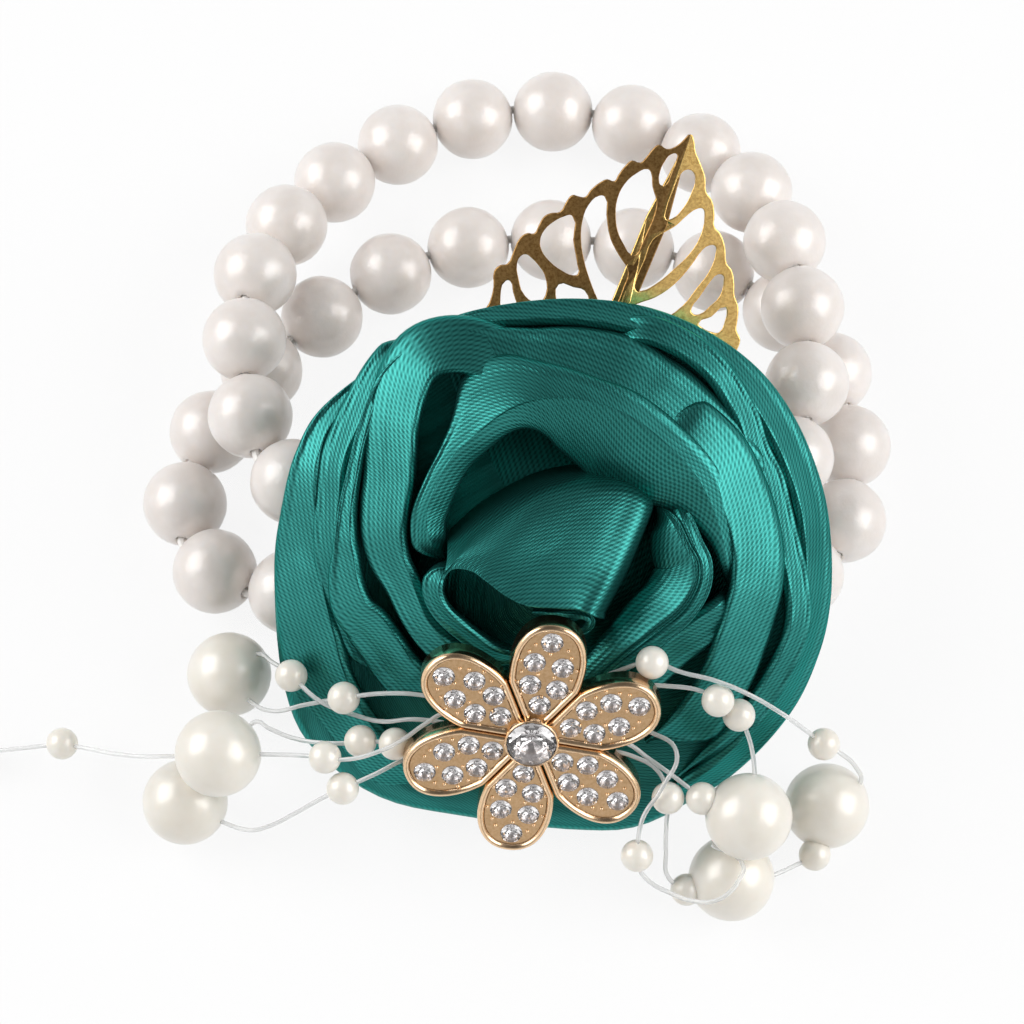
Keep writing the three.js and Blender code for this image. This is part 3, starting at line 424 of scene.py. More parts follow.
# A fold's ridge points are X, Y and height on the flower's plane, then the reach of the outer slope and the width
# of the inner face where these aren't the fold's own.
FOLDS = [
    dict(ridge=[
        (-11.2, 21.8, 5.5, 0.6, 0.4), (-8.1, 23.2, 6.6, 1), (-2.7, 23.9, 7.2, 1.4), (2.7, 23.9, 7.4, 1.7),
        (8.2, 22.9, 7.5, 2), (13.2, 20.7, 7.6, 2.2), (17.4, 17.4, 7.7, 2.4), (20.3, 13.2, 7.7, 2.6),
        (22.5, 8, 7.7, 2.6), (23.4, 3.4, 7.6, 2.6), (23.5, -2.2, 7.5, 2.6), (22.6, -6.9, 7.3, 2.6),
        (20.2, -12.1, 7, 2.6), (15.4, -17.6, 6.4, 2.4), (9.3, -22, 5.5, 1.6, 0.6),
    ], face=0.7, drop=0.5, depth=4, reach=2.6, fall=3.4, tuck=-1.2),
    dict(ridge=[
        (5.1, 22, 6.8), (7.5, 22.2, 8), (9.6, 22, 8.6), (12.3, 20.7, 8.9), (14.4, 19, 9), (15.8, 17.1, 9),
        (17.2, 14.6, 9.1), (18.2, 11.6, 9.2), (19.5, 9, 9.2), (20.3, 5.9, 9.2), (21, 3.1, 9.2),
        (21.7, 0.3, 9.1), (22.1, -2.7, 8.9), (21.8, -5.3, 8.7), (20.5, -8.4, 8.4), (18.5, -11.9, 8),
        (15.3, -15.9, 7), (11.2, -19.9, 5.5),
    ], face=0.6, drop=0.5, depth=4, reach=2, fall=1.8),
    dict(ridge=[
        (-13.6, 20.6, 4.8, 0.5, 0.4), (-16.4, 18.2, 5.8, 0.9, 0.6), (-19, 15.6, 6.6, 1.4),
        (-20.5, 13.5, 7.2, 1.8), (-21.4, 11.1, 7.7, 2.1), (-21.7, 8.9, 7.9, 2.6), (-21.6, 5.3, 8, 3.5),
        (-21.4, 2.3, 8, 4.2), (-20.9, -1.2, 8.2, 4.8), (-20.1, -4.9, 8.2, 5.4), (-19.2, -8.6, 8, 5.8),
        (-17.8, -11.8, 7.8, 6), (-16.1, -14.6, 7.4, 5.8), (-13.9, -17.5, 6.8, 4.8), (-10.3, -20.9, 5, 2.2, 0.6),
    ], face=0.8, drop=0.5, depth=3.5, reach=4.6, fall=3.8, tuck=-1.2),
    dict(ridge=[
        (-11.5, 22.3, 6.2), (-13.9, 20.1, 8), (-15.3, 18.4, 8.6), (-16.7, 16, 9), (-18, 13.4, 9.3),
        (-19, 10.8, 9.5), (-19.4, 7.3, 9.6), (-19.7, 4.6, 9.6), (-19.6, 1.8, 9.6), (-19, -1, 9.5),
        (-18.1, -3.6, 9.3), (-16.9, -6.5, 8.8), (-15.2, -9.6, 7.6),
    ], face=0.6, drop=0.5, depth=4, reach=2.2, fall=2.2),
    dict(ridge=[
        (-11.6, 20.8, 7.4, 0.8, 0.4), (-14.3, 18.9, 9.4, 0.9, 0.4), (-16, 16.2, 9.9, 0.9, 0.4),
        (-17.1, 12.8, 10.2, 0.9, 0.4), (-17.7, 9.9, 10.5, 1, 0.4), (-18.2, 7, 10.7, 1.2, 0.5),
        (-18.3, 4.2, 10.8, 1.6), (-18, 2.4, 10.9, 2.2), (-17.7, 0.4, 11, 2.8), (-17, -1.7, 11.2, 3.4),
        (-15.6, -3, 11.3, 4), (-14.2, -4.9, 11.4, 4), (-12.9, -6.9, 11.3, 4), (-11.5, -8.6, 11, 4),
        (-9.2, -11.6, 9.6, 3),
    ], face=0.6, drop=0.5, depth=5, reach=4, fall=3),
    dict(ridge=[
        (-15.9, 13.9, 9, 1.4, 0.6), (-15.3, 16.1, 10, 1.6), (-14.2, 18, 10.2, 1.8), (-12.8, 19.5, 10.2, 1.8),
        (-11.1, 20.4, 10.2, 1.8), (-9, 21, 10.2, 2), (-6.3, 20.9, 10.4, 2.4), (-3.7, 20.3, 10.8, 3),
        (-1.2, 19.5, 11, 3.8), (2.5, 18.6, 11.2, 4.6), (6, 17.5, 11.4, 5), (8.1, 16.2, 11.6, 5),
        (10.1, 14.9, 11.6, 5), (13, 12.9, 11.4, 4.4), (15.6, 11, 11, 3.6), (17.9, 9.2, 10.2, 2.6),
        (19.3, 7.3, 8.6, 1.6, 0.6),
    ], face=0.8, drop=0.8, depth=4, reach=4, fall=3),
    dict(ridge=[
        (-1.8, 17, 11), (-3.7, 17.9, 12), (-5.8, 19.1, 11.8), (-7.9, 19.8, 11.6), (-9.9, 19.7, 11.6),
        (-11.1, 18.9, 11.8), (-11.9, 17, 12.2), (-12.5, 14.6, 12.6), (-12.7, 12, 12.9), (-12.9, 9.5, 13),
        (-13.4, 6.8, 12.9, 4.2), (-13.7, 4.6, 12.8, 3.8, 0.6), (-13.4, 2.6, 12.8, 3.4, 0.6),
        (-12.6, 0.5, 13, 2.8, 0.7), (-11.5, -2.4, 13.2, 2.4, 0.7), (-10, -4.5, 13.2, 2.4, 0.7),
        (-8, -6.3, 13, 2.4, 0.7), (-5.9, -8.1, 12.6, 2.4, 0.7), (-3.2, -10.1, 11, 2.4, 0.7),
    ], face=0.5, drop=0.4, depth=6, reach=4.4, fall=3.6),
    dict(ridge=[
        (-9.4, 1.9, 11.5, 1.6, 0.8), (-10.6, 3.8, 14, 2, 1.2), (-11.2, 5.8, 14.6, 1.6, 1.6),
        (-11.1, 7.5, 14.8, 1.3, 1.8), (-10.1, 10.1, 15, 1.2, 1.8), (-8.8, 12.3, 15.2, 1.4, 1.8),
        (-7.1, 14, 15.4, 2.6, 1.8), (-5, 15.8, 15.5, 4.6, 1.9), (-3.1, 16.9, 15.5, 4.4, 2.4),
        (-1.1, 17.4, 15.5, 3.2, 3.4), (1.1, 17.4, 15.5, 2.6, 4.8), (3.8, 16.9, 15.5, 2.2, 6),
        (6.3, 16, 15.4, 2.2, 6.8), (8.7, 14.4, 15.2, 2.2, 7), (11.1, 12.2, 14.8, 2.2, 6.4),
        (12.9, 10.2, 14.4, 2.2, 5), (14.1, 8.1, 14, 2.2, 3.4), (15, 6, 13.6, 2, 2), (15.6, 3.9, 13.2, 1.8, 1),
        (16, 1.7, 12.6, 1.6, 0.6), (16.2, -0.7, 10.5, 1.2, 0.5),
    ], depth=8, reach=2.6, fall=3),
    dict(ridge=[
        (9, 14.3, 12), (11.4, 12.9, 13), (13.8, 10.7, 12.9), (15.2, 8.1, 12.8), (16.1, 5.7, 12.7),
        (16.7, 3.1, 12.6), (16.8, 0.7, 12.5), (16.4, -1.5, 12.4), (15.4, -4.9, 12), (14.2, -8.1, 11.4),
        (11.9, -12.2, 10), (8.8, -15.6, 8),
    ], face=0.5, drop=0.4, depth=6, reach=4.6, fall=3.2),
    dict(ridge=[
        (16.2, -0.3, 10.6), (15.5, -1.4, 12.5), (13.9, -2.5, 13), (11.4, -4.3, 13.2), (9.5, -6, 13),
        (7.3, -8.3, 12.4), (4.6, -10.9, 11),
    ], face=0.6, drop=0.5, depth=5, reach=3, fall=2.4),
    dict(ridge=[
        (10.3, 8.1, 11), (11.6, 6.6, 13), (12.8, 4, 13.8), (13.6, 2.2, 14), (13.4, 0, 14), (12, -2.3, 14),
        (9.6, -4.4, 13.9), (6.7, -6.7, 13.5), (4, -9, 12.7), (1.4, -11.4, 11.4),
    ], face=0.5, drop=0.4, depth=5, reach=1, fall=0.9),
    dict(ridge=[
        (9.2, 7.4, 11.5, 0.7, 1), (10.7, 6.2, 13.4, 0.7, 2), (11.9, 3.8, 14.2, 0.7, 3),
        (12.7, 2.2, 14.4, 0.7, 3.4), (12.5, 0.3, 14.5, 0.7, 3.4), (11.2, -1.7, 14.5, 0.7, 3.2),
        (8.9, -3.6, 14.4, 0.7, 2.8), (6.1, -5.9, 14, 0.7, 2), (3.5, -8.3, 13.2, 0.7, 1.4),
        (0.9, -10.8, 12, 0.7, 1),
    ], depth=6, reach=0.7, fall=0.7),
    dict(ridge=[
        (-8.8, 2.3, 16.6), (-9.8, 1.5, 16.7), (-10.1, 0, 16.4), (-9.3, -1.7, 16), (-7.5, -3.4, 15.6),
        (-5.4, -5.1, 15.2), (-3.4, -6, 14.8), (-0.9, -7.1, 13.6),
    ], face=0.4, drop=0.3, depth=7, reach=1.6, fall=1.8, middle=(-4, -1)),
]
FACE_SLOPE = 0.75
UNDERCUT = 0.7
RIDGE_STEP = 0.45
ACROSS_STEPS = 4
RIPPLE = 0.1
RIPPLE_WAVES = Vector((0.16, 0.5, 4.7))
RIBBON_STEP = 31.7
TABLE_GAP = 0.15
END_TAPER = 3.5
END_SINK = 1.2
HEM_DEPTH = 5.5
HEM_FLOOR = 0.6
HEM_TUCK = -0.6
RIDGE_ROUND = 0.12
LEAST_STEPS = 8
SATIN_PALE = (0.042, 0.27, 0.245)
SATIN_DEEP = (0.014, 0.11, 0.098)
SATIN_EDGE = (0.3, 0.78, 0.72)
FLOAT_LENGTH = 0.44
RIB_PITCH = 0.21
RIB_SHEAR = radians(35)
RIB_ANGLE = radians(52)
ribbon_points = []
ribbon_faces = []
ribbon_places = []


def smooth_line(points, steps):
    """A Catmull-Rom line through points, as evenly shared steps between them."""
    points = [Vector(p) for p in points]
    ends = [2 * points[0] - points[1], *points, 2 * points[-1] - points[-2]]
    spans = len(points) - 1
    line = []
    for i in range(steps + 1):
        place = spans * i / steps
        k = min(int(place), spans - 1)
        t = place - k
        a, b, c, d = ends[k:k + 4]
        line.append(0.5 * (2 * b + (c - a) * t + (2 * a - 5 * b + 4 * c - d) * t * t
                           + (3 * b - a - 3 * c + d) * t * t * t))
    return line


def lay_ribbon(rows, seed):
    """Adds a stretch of ribbon, rows of points from edge to edge, and each point's place on the flat ribbon."""
    first = len(ribbon_points)
    wide = len(rows[0])
    along = 0.0
    for r, row in enumerate(rows):
        if r:
            along += (row[wide // 2] - rows[r - 1][wide // 2]).length
        across = 0.0
        for c, point in enumerate(row):
            if c:
                across += (point - row[c - 1]).length
            wave = noise.noise(Vector((along, across, seed)) * RIPPLE_WAVES)
            spot = on_flower(point.x, point.y, point.z + RIPPLE * wave)
            spot.z = max(spot.z, TABLE_GAP * MM)
            ribbon_points.append(spot)
            ribbon_places.append((along + seed * RIBBON_STEP, across))
    for r in range(len(rows) - 1):
        for c in range(wide - 1):
            low = first + r * wide + c
            ribbon_faces.append((low, low + 1, low + wide + 1, low + wide))


def lay_fold(fold, seed):
    """Sweeps a fold's section along its ridge: shaded inner wall, inner face, ridge, outer slope and hem."""
    usual = (fold["reach"], fold.get("face"))
    ridge = [(*point, *usual[len(point) - 3:]) for point in fold["ridge"]]
    length = sum((Vector(a[:3]) - Vector(b[:3])).length for a, b in zip(ridge, ridge[1:]))
    steps = max(LEAST_STEPS, round(length / RIDGE_STEP))
    line = smooth_line(ridge, steps)
    middle = Vector(fold.get("middle", (0, 1)))
    turns = []
    for i in range(len(line)):
        run = (line[min(i + 1, steps)] - line[max(i - 1, 0)]).xy.normalized()
        turns.append(Vector((run.y, -run.x)))
    outward = sum(turn.dot(point.xy - middle) for turn, point in zip(turns, line))
    rows = []
    for i, (turn, point) in enumerate(zip(turns, line)):
        out = turn if outward > 0 else -turn
        nearness = min(1, min(i, steps - i) * length / steps / END_TAPER)
        full = nearness * nearness * (3 - 2 * nearness)
        reach, face = point[3] * full, point[4] * full
        drop = fold.get("drop", point[4] * FACE_SLOPE) * full
        fall = fold["fall"] * reach / fold["reach"]
        section = [
            (UNDERCUT - face, -drop - fold["depth"]),
            (UNDERCUT * 0.5 - face, -drop - fold["depth"] * 0.4),
            (-face - 0.05, -drop - 0.5),
            (-face * 0.9, -drop * 0.75),
            (-RIDGE_ROUND, -0.05),
            (RIDGE_ROUND, -0.03),
            (reach * 0.3, -fall * 0.24),
            (reach * 0.65, -fall * 0.58),
            (reach, -fall),
            (reach + fold.get("tuck", HEM_TUCK) * full, -fall - HEM_DEPTH),
        ]
        section = smooth_line(section, ACROSS_STEPS * (len(section) - 1))
        sunk = point.z - END_SINK * (1 - full)
        rows.append([Vector((*(point.xy + out * s.x), max(sunk + s.y, HEM_FLOOR))) for s in section])
    lay_ribbon(rows, seed)


for seed, fold in enumerate(FOLDS):
    lay_fold(fold, seed)

BUD_TOP = [
    (-9.4, 3.1, 16.3), (-6.3, 5.7, 15.5), (-2.1, 8, 15), (0.9, 8.8, 14.6), (3.8, 9, 14.2), (6.8, 8.5, 13.8),
    (8.8, 7.2, 13.2), (9.4, 6.2, 8),
]
BUD_LIP = [
    (-9.8, 1.2, 16.8), (-8.9, 2.3, 17.2), (-7.2, 2.2, 17.6), (-5.7, 1.3, 17.9), (-4, 0.1, 18), (-2, -0.8, 18),
    (0.9, -1.1, 17.8), (2.7, -1.3, 17.4), (4.2, -2.1, 16.6), (5, -3.4, 10),
]
BUD_BACK = [(0, 1.6, -7), (0, 1.1, -2.2)]
BUD_ROLL = [(0, 0.5, 0.05), (0, 0, 0), (0.1, 0.25, -0.7), (0.3, 1.2, -6)]
BUD_SWELL = 0.9
BUD_STEPS = 70
BUD_SEED, CURL_SEED, CORE_SEED = 40, 41, 42


def lay_bud():
    """The rolled bud: its shaded back, its broad front face, its lip and the wall under the lip."""
    rows = []
    for top, lip in zip(smooth_line(BUD_TOP, BUD_STEPS), smooth_line(BUD_LIP, BUD_STEPS)):
        half = (top + lip) / 2 + Vector((0, 0, BUD_SWELL))
        back = [top + Vector(step) for step in BUD_BACK]
        section = [*back, top, half, *(lip + Vector(step) for step in BUD_ROLL)]
        rows.append(smooth_line(section, ACROSS_STEPS * (len(section) - 1)))
    lay_ribbon(rows, BUD_SEED)


lay_bud()

CURL = [
    (-1.7, -2.1, 15.6), (0.9, -2.1, 15.9), (2.9, -2.2, 15.9), (3.4, -2.9, 15.6), (2.3, -3.8, 15.3),
    (-0.5, -4.2, 15),
]
curl = dict(ridge=CURL, face=0.3, drop=0.2, depth=4, reach=0.5, fall=0.6, middle=(1, -3))
lay_fold(curl, CURL_SEED)

ROSE_HEIGHT = 16
ROSE_RIM = 4.4
CORE_SINK = 7.5
CORE_SHARE = 0.9
CORE_FLOOR = 4.6
CORE_RIMS = [(0.0, 0.05), (0.5, 0.05), (0.9, 0.05), (0.96, 1.2), (0.985, 2.6), (0.96, 4)]
CORE_RINGS = 18
CORE_SIDES = 120


def lay_core():
    """The ribbon's first turns inside the rose and its wrapped underside, one closed form under the folds."""
    edge = smooth_line([*OUTLINE, OUTLINE[0]], CORE_SIDES)[:-1]
    rows = []
    for share, height in (*CORE_RIMS, (CORE_SHARE, CORE_FLOOR)):
        rows.append([Vector((*(point * share), height)) for point in edge])
    for r in range(1, CORE_RINGS + 1):
        share = CORE_SHARE * (1 - r / CORE_RINGS)
        row = []
        for point in edge:
            flat = point * share
            dome = ROSE_HEIGHT - (ROSE_HEIGHT - ROSE_RIM) * (flat.length / edge[0].length) ** 2
            row.append(Vector((*flat, max(CORE_FLOOR, dome - CORE_SINK))))
        rows.append(row)
    lay_ribbon([[*row, row[0]] for row in rows], CORE_SEED)


lay_core()


def satin_finish():
    """Satin: shiny threads in a steep twill of short floats, a soft sheen and a slow change of depth; the raised
    floats are painted paler and the gaps between them darker, a painted sheen and painted shade in the weave.
    """
    material, tree, shader = new_material(
        "emerald_satin", SATIN_PALE, 0.35, 0.85,
        Specular_IOR_Level=0.3, Specular_Tint=(*SATIN_EDGE, 1), Anisotropic=0.45,
    )
    flat = add_node(tree, "ShaderNodeUVMap", uv_map="ribbon")
    waves = []
    for length, angle in ((RIB_PITCH, RIB_ANGLE), (FLOAT_LENGTH, RIB_ANGLE + RIB_SHEAR - pi / 2)):
        turn = pi / (length * MM)
        way = (turn * cos(angle), turn * sin(angle), 0)
        phase = add_node(tree, "ShaderNodeVectorMath", flat, way, operation="DOT_PRODUCT")
        waves.append(add_node(tree, "ShaderNodeMath", phase.outputs["Value"], operation="SINE"))
    floats = add_node(tree, "ShaderNodeMath", *waves, operation="MULTIPLY")
    lift = add_node(tree, "ShaderNodeMapRange", Value=floats, From_Min=-1.0)
    # The weave's colour: a painted sheen on the raised floats and painted shade in the gaps between them.
    float_sheen_and_gap_shade = add_ramp(tree, lift, (0.1, SATIN_DEEP), (0.8, SATIN_PALE))
    slow = add_node(tree, "ShaderNodeTexNoise", Vector=flat, Scale=160.0, Detail=2.0)
    depth = add_node(
        tree, "ShaderNodeMapRange", Value=slow, From_Min=0.3, From_Max=0.7, To_Min=0.8, To_Max=1.1
    )
    shade = add_node(tree, "ShaderNodeVectorMath", float_sheen_and_gap_shade, Scale=depth, operation="SCALE")
    puckers = add_node(tree, "ShaderNodeBump", Height=slow, Strength=0.3, Distance=0.6 * MM)
    threads = add_node(tree, "ShaderNodeBump", Height=lift, Normal=puckers, Strength=0.35, Distance=0.06 * MM)
    grain = add_node(tree, "ShaderNodeTangent", direction_type="UV_MAP", uv_map="ribbon")
    feed(tree, shader, dict(Base_Color=shade, Normal=threads, Tangent=grain))
    return material


rose = new_piece("ribbon_rose", ribbon_points, ribbon_faces, satin_finish())
flat_ribbon = rose.data.uv_layers.new(name="ribbon")
for corner in rose.data.loops:
    flat_ribbon.data[corner.index].uv = Vector(ribbon_places[corner.vertex_index]) * MM
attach(rose, "flower")
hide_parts("satin_rose")


# Leaf: stamped from thin sheet, pierced between its veins, folded along the midrib and gold plated. Its left half
# is a copy of the gold painted darker, a painted shade for the dark surroundings it mirrors. Its foot is glued in
# behind the rose.
# Edge and slot points are millimetres out from the midrib and down from the tip.
LEAF_TIP = (12.96, 40.25, -0.75)
LEAF_LEAN = radians(22)
LEAF_FOLD = radians(13)
LEAF_SHEET = 0.5
LEAF_ROUND = 0.09
LEAF_EDGES = {
    "left": [
        (0.05, -0.1), (-0.5, 0.8), (-1, 1.6), (-1.6, 2), (-2.4, 1.9), (-2.8, 2.5), (-3.1, 3.5), (-3.4, 4.1),
        (-4.2, 4.2), (-4.6, 4.9), (-4.9, 6), (-5, 6.6), (-5.7, 6.7), (-6.2, 7.2), (-6.8, 8.3), (-7, 9),
        (-7.6, 9.2), (-8.2, 9.3), (-8.5, 10.1), (-8.7, 11.2), (-9.4, 11.6), (-9.9, 12.1), (-10.1, 13.2),
        (-10.2, 14), (-10.8, 14.2), (-11.3, 14.9), (-11.4, 16.3), (-11.5, 17.6), (-12.1, 18), (-12.4, 18.7),
        (-11.9, 20.1), (-11.7, 21.6), (-11.8, 22.4), (-11, 24.6), (-10, 26), (-9.4, 27.4), (-7.4, 29.4),
        (-5.6, 30.6), (-3, 32.3), (-0.9, 33), (0.05, 33),
    ],
    "right": [
        (-0.05, -0.1), (0.6, 0.4), (1, 1.1), (1.9, 2), (2.9, 3.1), (3.5, 4.3), (4.3, 4.8), (5.1, 6), (5.5, 7),
        (6.3, 7.4), (7.3, 8.5), (8, 9.8), (8.7, 10.2), (9.5, 11.4), (9.9, 12.3), (10.7, 13.2), (11.1, 14.3),
        (11.4, 15.3), (12.1, 16), (12.2, 17), (12, 18.4), (12.4, 19.4), (11.9, 21), (11.3, 22.6), (11.4, 23.6),
        (10, 25.6), (8.8, 27.2), (7.2, 28.8), (5.6, 30.4), (3, 32.2), (0.9, 33), (-0.05, 33),
    ],
}
LEAF_SLOTS = {
    "left": [
        [(-1, 2.3), (-0.5, 2.1), (-0.35, 2.6), (-0.35, 4), (-0.4, 5), (-0.75, 5.3), (-1.1, 5), (-1.35, 4.1),
         (-1.3, 3.1)],
        [(-3.3, 5.1), (-2.5, 4.4), (-2.1, 4.6), (-1.5, 5.7), (-0.6, 6.9), (-0.35, 8), (-0.35, 9.7), (-0.4, 11),
         (-0.5, 12.1), (-0.9, 12.3), (-1.9, 11.7), (-2.9, 10.8), (-3.7, 9.4), (-4.1, 8), (-4, 6.5)],
        [(-5.8, 8.4), (-5.3, 8.3), (-4.5, 9.8), (-3.3, 11.7), (-2, 12.8), (-0.6, 13.9), (-0.45, 15.3),
         (-0.5, 17.4), (-0.9, 18.4), (-2.3, 17.3), (-3.5, 16.1), (-4.9, 14.4), (-5.8, 12.9), (-6.4, 11.1),
         (-6.4, 9.5)],
        [(-7.5, 11.1), (-6.5, 13.2), (-5.3, 15.1), (-4.9, 15.9), (-5.3, 16.2), (-6.3, 16.2), (-7.9, 15.8),
         (-9, 15.1), (-9.4, 14.4), (-9.4, 13.3), (-8.9, 12.3), (-8.1, 11.4)],
        [(-10.2, 16.1), (-9.6, 16.2), (-8.5, 16.7), (-7.8, 17.2), (-7, 18.9), (-7.4, 19.8), (-8.8, 19.7),
         (-10, 18.4), (-10.6, 17.3), (-10.6, 16.5)],
        [(-6.2, 17.5), (-4.8, 17.2), (-3.7, 17.1), (-2.6, 18.3), (-1.2, 20), (-0.8, 21.6), (-2.4, 21.6),
         (-4.6, 20.4), (-5.8, 19)],
        [(-11, 19.1), (-10.6, 19), (-10, 19.8), (-8.6, 21.3), (-6.4, 22.9), (-8.2, 23.2), (-10, 22.2),
         (-10.9, 20.7)],
        [(-5.9, 21.9), (-3.6, 22.7), (-1, 23.6), (-0.7, 26), (-1.2, 28.6), (-3.4, 26.6), (-5.4, 24.2)],
    ],
    "right": [
        [(0.9, 3.1), (1.4, 3), (2, 3.5), (2.2, 5), (2, 6.6), (1.4, 7.8), (0.9, 8), (0.6, 7.2), (0.5, 5.3),
         (0.55, 3.7)],
        [(3.3, 6.1), (3.8, 5.9), (4.2, 6.4), (4.6, 8.4), (4.3, 10.2), (3.5, 12), (2.3, 14.1), (1.3, 15.1),
         (0.8, 15.2), (0.5, 14.4), (0.5, 12.4), (0.5, 10.3), (1.1, 9.4), (2, 8.3), (2.7, 6.9)],
        [(5.7, 8.9), (6.3, 8.7), (6.6, 9.2), (6.7, 11.2), (6.2, 13), (5.6, 15), (4, 17.2), (1.4, 19.2),
         (0.6, 19), (0.6, 17.3), (1.5, 16.3), (2.8, 15.2), (4, 13.5), (4.9, 11.1), (5.3, 9.5)],
        [(7.6, 11.1), (8.1, 11), (8.4, 11.5), (8.6, 12.9), (8.1, 14.1), (7.4, 15.2), (6.7, 15.3), (6.5, 14.9),
         (6.8, 13.7), (7.2, 12)],
        [(9.5, 13.7), (9.8, 14), (10, 14.9), (9.9, 16.1), (9.4, 16.3), (8, 16.2), (7.7, 16), (8.6, 15)],
        [(10.6, 17.2), (10.8, 18.4), (10, 19.6), (7, 20.6), (3, 21.4), (0.8, 22.4), (0.7, 20.8), (2.6, 19.8),
         (5, 18), (7.6, 17.4)],
        [(9.6, 21.2), (9.8, 22.6), (7.6, 25), (4, 27.4), (1, 29), (0.7, 26), (1.2, 24), (4.4, 22.6)],
    ],
}
# Painted shade: the darker gold of the leaf's left half, which stands in for the dark surroundings it mirrors.
LEAF_PAINTED_SHADE = (0.22, 0.115, 0.035)
BRIGHT_GOLD = (0.86, 0.58, 0.21)


def gold_finish(name, pale, deep, roughness):
    """Plated metal with paler and darker specks and a slow relief that breaks up what it mirrors."""
    specks = ((3600, 4, 0.7), (0.36, deep), (0.58, pale))
    return grained_finish(name, pale, roughness, 1.0, grain=((420, 2), 0.2, 0.25), tones=specks)


def cut_sheet(name, edge, holes, thickness, rounding):
    """A flat sheet cut to a smooth edge and smooth holes, its cut edges rounded, in flat millimetres."""
    curve = bpy.data.curves.new(name, "CURVE")
    curve.dimensions = "2D"
    curve.fill_mode = "BOTH"
    curve.resolution_u = 3
    curve.extrude = thickness / 2 - rounding
    curve.bevel_depth = rounding
    curve.bevel_resolution = 2
    curve.offset = -rounding
    for outline in (edge, *holes):
        add_spline(curve, [(*place, 0) for place in outline], closed=True)
    sketch = new_object(name, curve)
    bpy.context.view_layer.update()
    seen = bpy.context.evaluated_depsgraph_get()
    mesh = bpy.data.meshes.new_from_object(sketch.evaluated_get(seen))
    bpy.data.objects.remove(sketch)
    points = [vertex.co.copy() for vertex in mesh.vertices]
    faces = [tuple(face.vertices) for face in mesh.polygons]
    bpy.data.meshes.remove(mesh)
    return points, faces


def on_leaf(out, down, rise):
    across = abs(out) * cos(LEAF_FOLD) * (1 if out > 0 else -1)
    x = LEAF_TIP[0] + across * cos(LEAF_LEAN) - down * sin(LEAF_LEAN)
    y = LEAF_TIP[1] - across * sin(LEAF_LEAN) - down * cos(LEAF_LEAN)
    return on_flower(x, y, LEAF_TIP[2] + rise - abs(out) * sin(LEAF_FOLD))


# The left half's gold is a copy of the right half's gold painted darker: painted shade, not a finish of the
# metal.
leaf_tones = {
    "left": gold_finish("gold_painted_shade", (0.40, 0.235, 0.085), LEAF_PAINTED_SHADE, 0.3),
    "right": gold_finish("bright_gold", BRIGHT_GOLD, (0.6, 0.37, 0.11), 0.26),
}
for side, edge in LEAF_EDGES.items():
    flat, faces = cut_sheet(f"leaf_{side}", edge, LEAF_SLOTS[side], LEAF_SHEET, LEAF_ROUND)
    folded = [on_leaf(*point) for point in flat]
    leaf = new_piece(f"leaf_{side}_half", folded, faces, leaf_tones[side], smooth=False)
    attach(leaf, "flower")
    if side == "left":
        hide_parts("gold_leaf")

# Charm: a six-petal flower cast in rose gold, each petal a walled tray with a polished rim, a groove inside it
# and a pierced floor that six clear stones are set in, held by small grains of metal. It is glued on the rose.
CHARM_RADIUS = 12.2
CHARM_PETALS = 6
PETAL_WIDTH = 6.9
CHARM_TILT = radians(21)
CHARM_TURN = radians(19)
CHARM_CENTRE = (-1.8, -13)
CHARM_SEAT = 13.01
PETAL_NECK, PETAL_FLARE, PETAL_SWELL = 0.3, 0.62, 0.7
PETAL_START = 1.6
PETAL_POINTS = 30
SECTOR_GAP = 0.06
RIM_PROFILE = [
    (0.0, 0.0), (0.0, 1.75), (0.1, 2.05), (0.3, 2.2), (0.5, 2.12), (0.62, 1.85), (0.7, 1.7), (0.74, 0.9),
]
FLOOR_HEIGHT = 1.86
FLOOR_SHEET = 0.5
FLOOR_INSET = 0.66
HOLE_SIDES = 24
HOLE_SHARE = 0.97
PETAL_STONE = 2.05
PETAL_STONES = [(10.35, 0.15), (7.95, -1.3), (8.05, 1.3), (5.6, -1.25), (5.7, 1.25), (3.75, 0)]
GRAIN = 0.19
GRAIN_DOME = (0, 0.45, 0.9, 1.3)
GRAIN_SIDES = 10
GRAIN_SINK = 0.02
GRAINS = [
    (9.8, -1.45), (9.9, 1.55), (9.1, -1.9), (9.15, 0.05), (9.1, 2), (6.8, -2.3), (6.8, -0.75), (6.85, 0.75),
    (6.9, 2.3), (4.5, -1.95), (4.6, 0), (4.6, 1.95), (7.9, -2.6), (8, 2.6), (5.7, -2.45), (5.8, 2.45),
]


def petal_edge(inset):
    """Half a petal's edge from foot to tip, moved in by an inset and kept inside its sixth of the circle."""
    neck, flare, swell = CHARM_RADIUS * PETAL_NECK, PETAL_WIDTH * PETAL_FLARE, PETAL_WIDTH * PETAL_SWELL
    line = []
    for i in range(PETAL_POINTS * 3 + 1):
        t = i / (PETAL_POINTS * 3)
        a, b, c = 3 * (1 - t) ** 2 * t, 3 * (1 - t) * t * t, t ** 3
        x, y = a * neck + (b + c) * CHARM_RADIUS, a * flare + b * swell
        if x >= PETAL_START:
            line.append(Vector((x, min(y, x * tan(pi / CHARM_PETALS) - SECTOR_GAP))))
    edge, last = [], len(line) - 1
    for i in range(PETAL_POINTS + 1):
        k = round(i * last / PETAL_POINTS)
        run = (line[min(k + 1, last)] - line[max(k - 1, 0)]).normalized()
        inward = Vector((run.y, -run.x)) if k < last else Vector((-1, 0))
        moved = line[k] + inward * inset
        edge.append((moved.x, max(moved.y, 0.0)))
    return edge


def petal_loop(inset):
    edge = petal_edge(inset)
    return edge + [(x, -y) for x, y in reversed(edge[:-1])]


charm_turns = [CHARM_TURN + 2 * pi * i / CHARM_PETALS for i in range(CHARM_PETALS)]


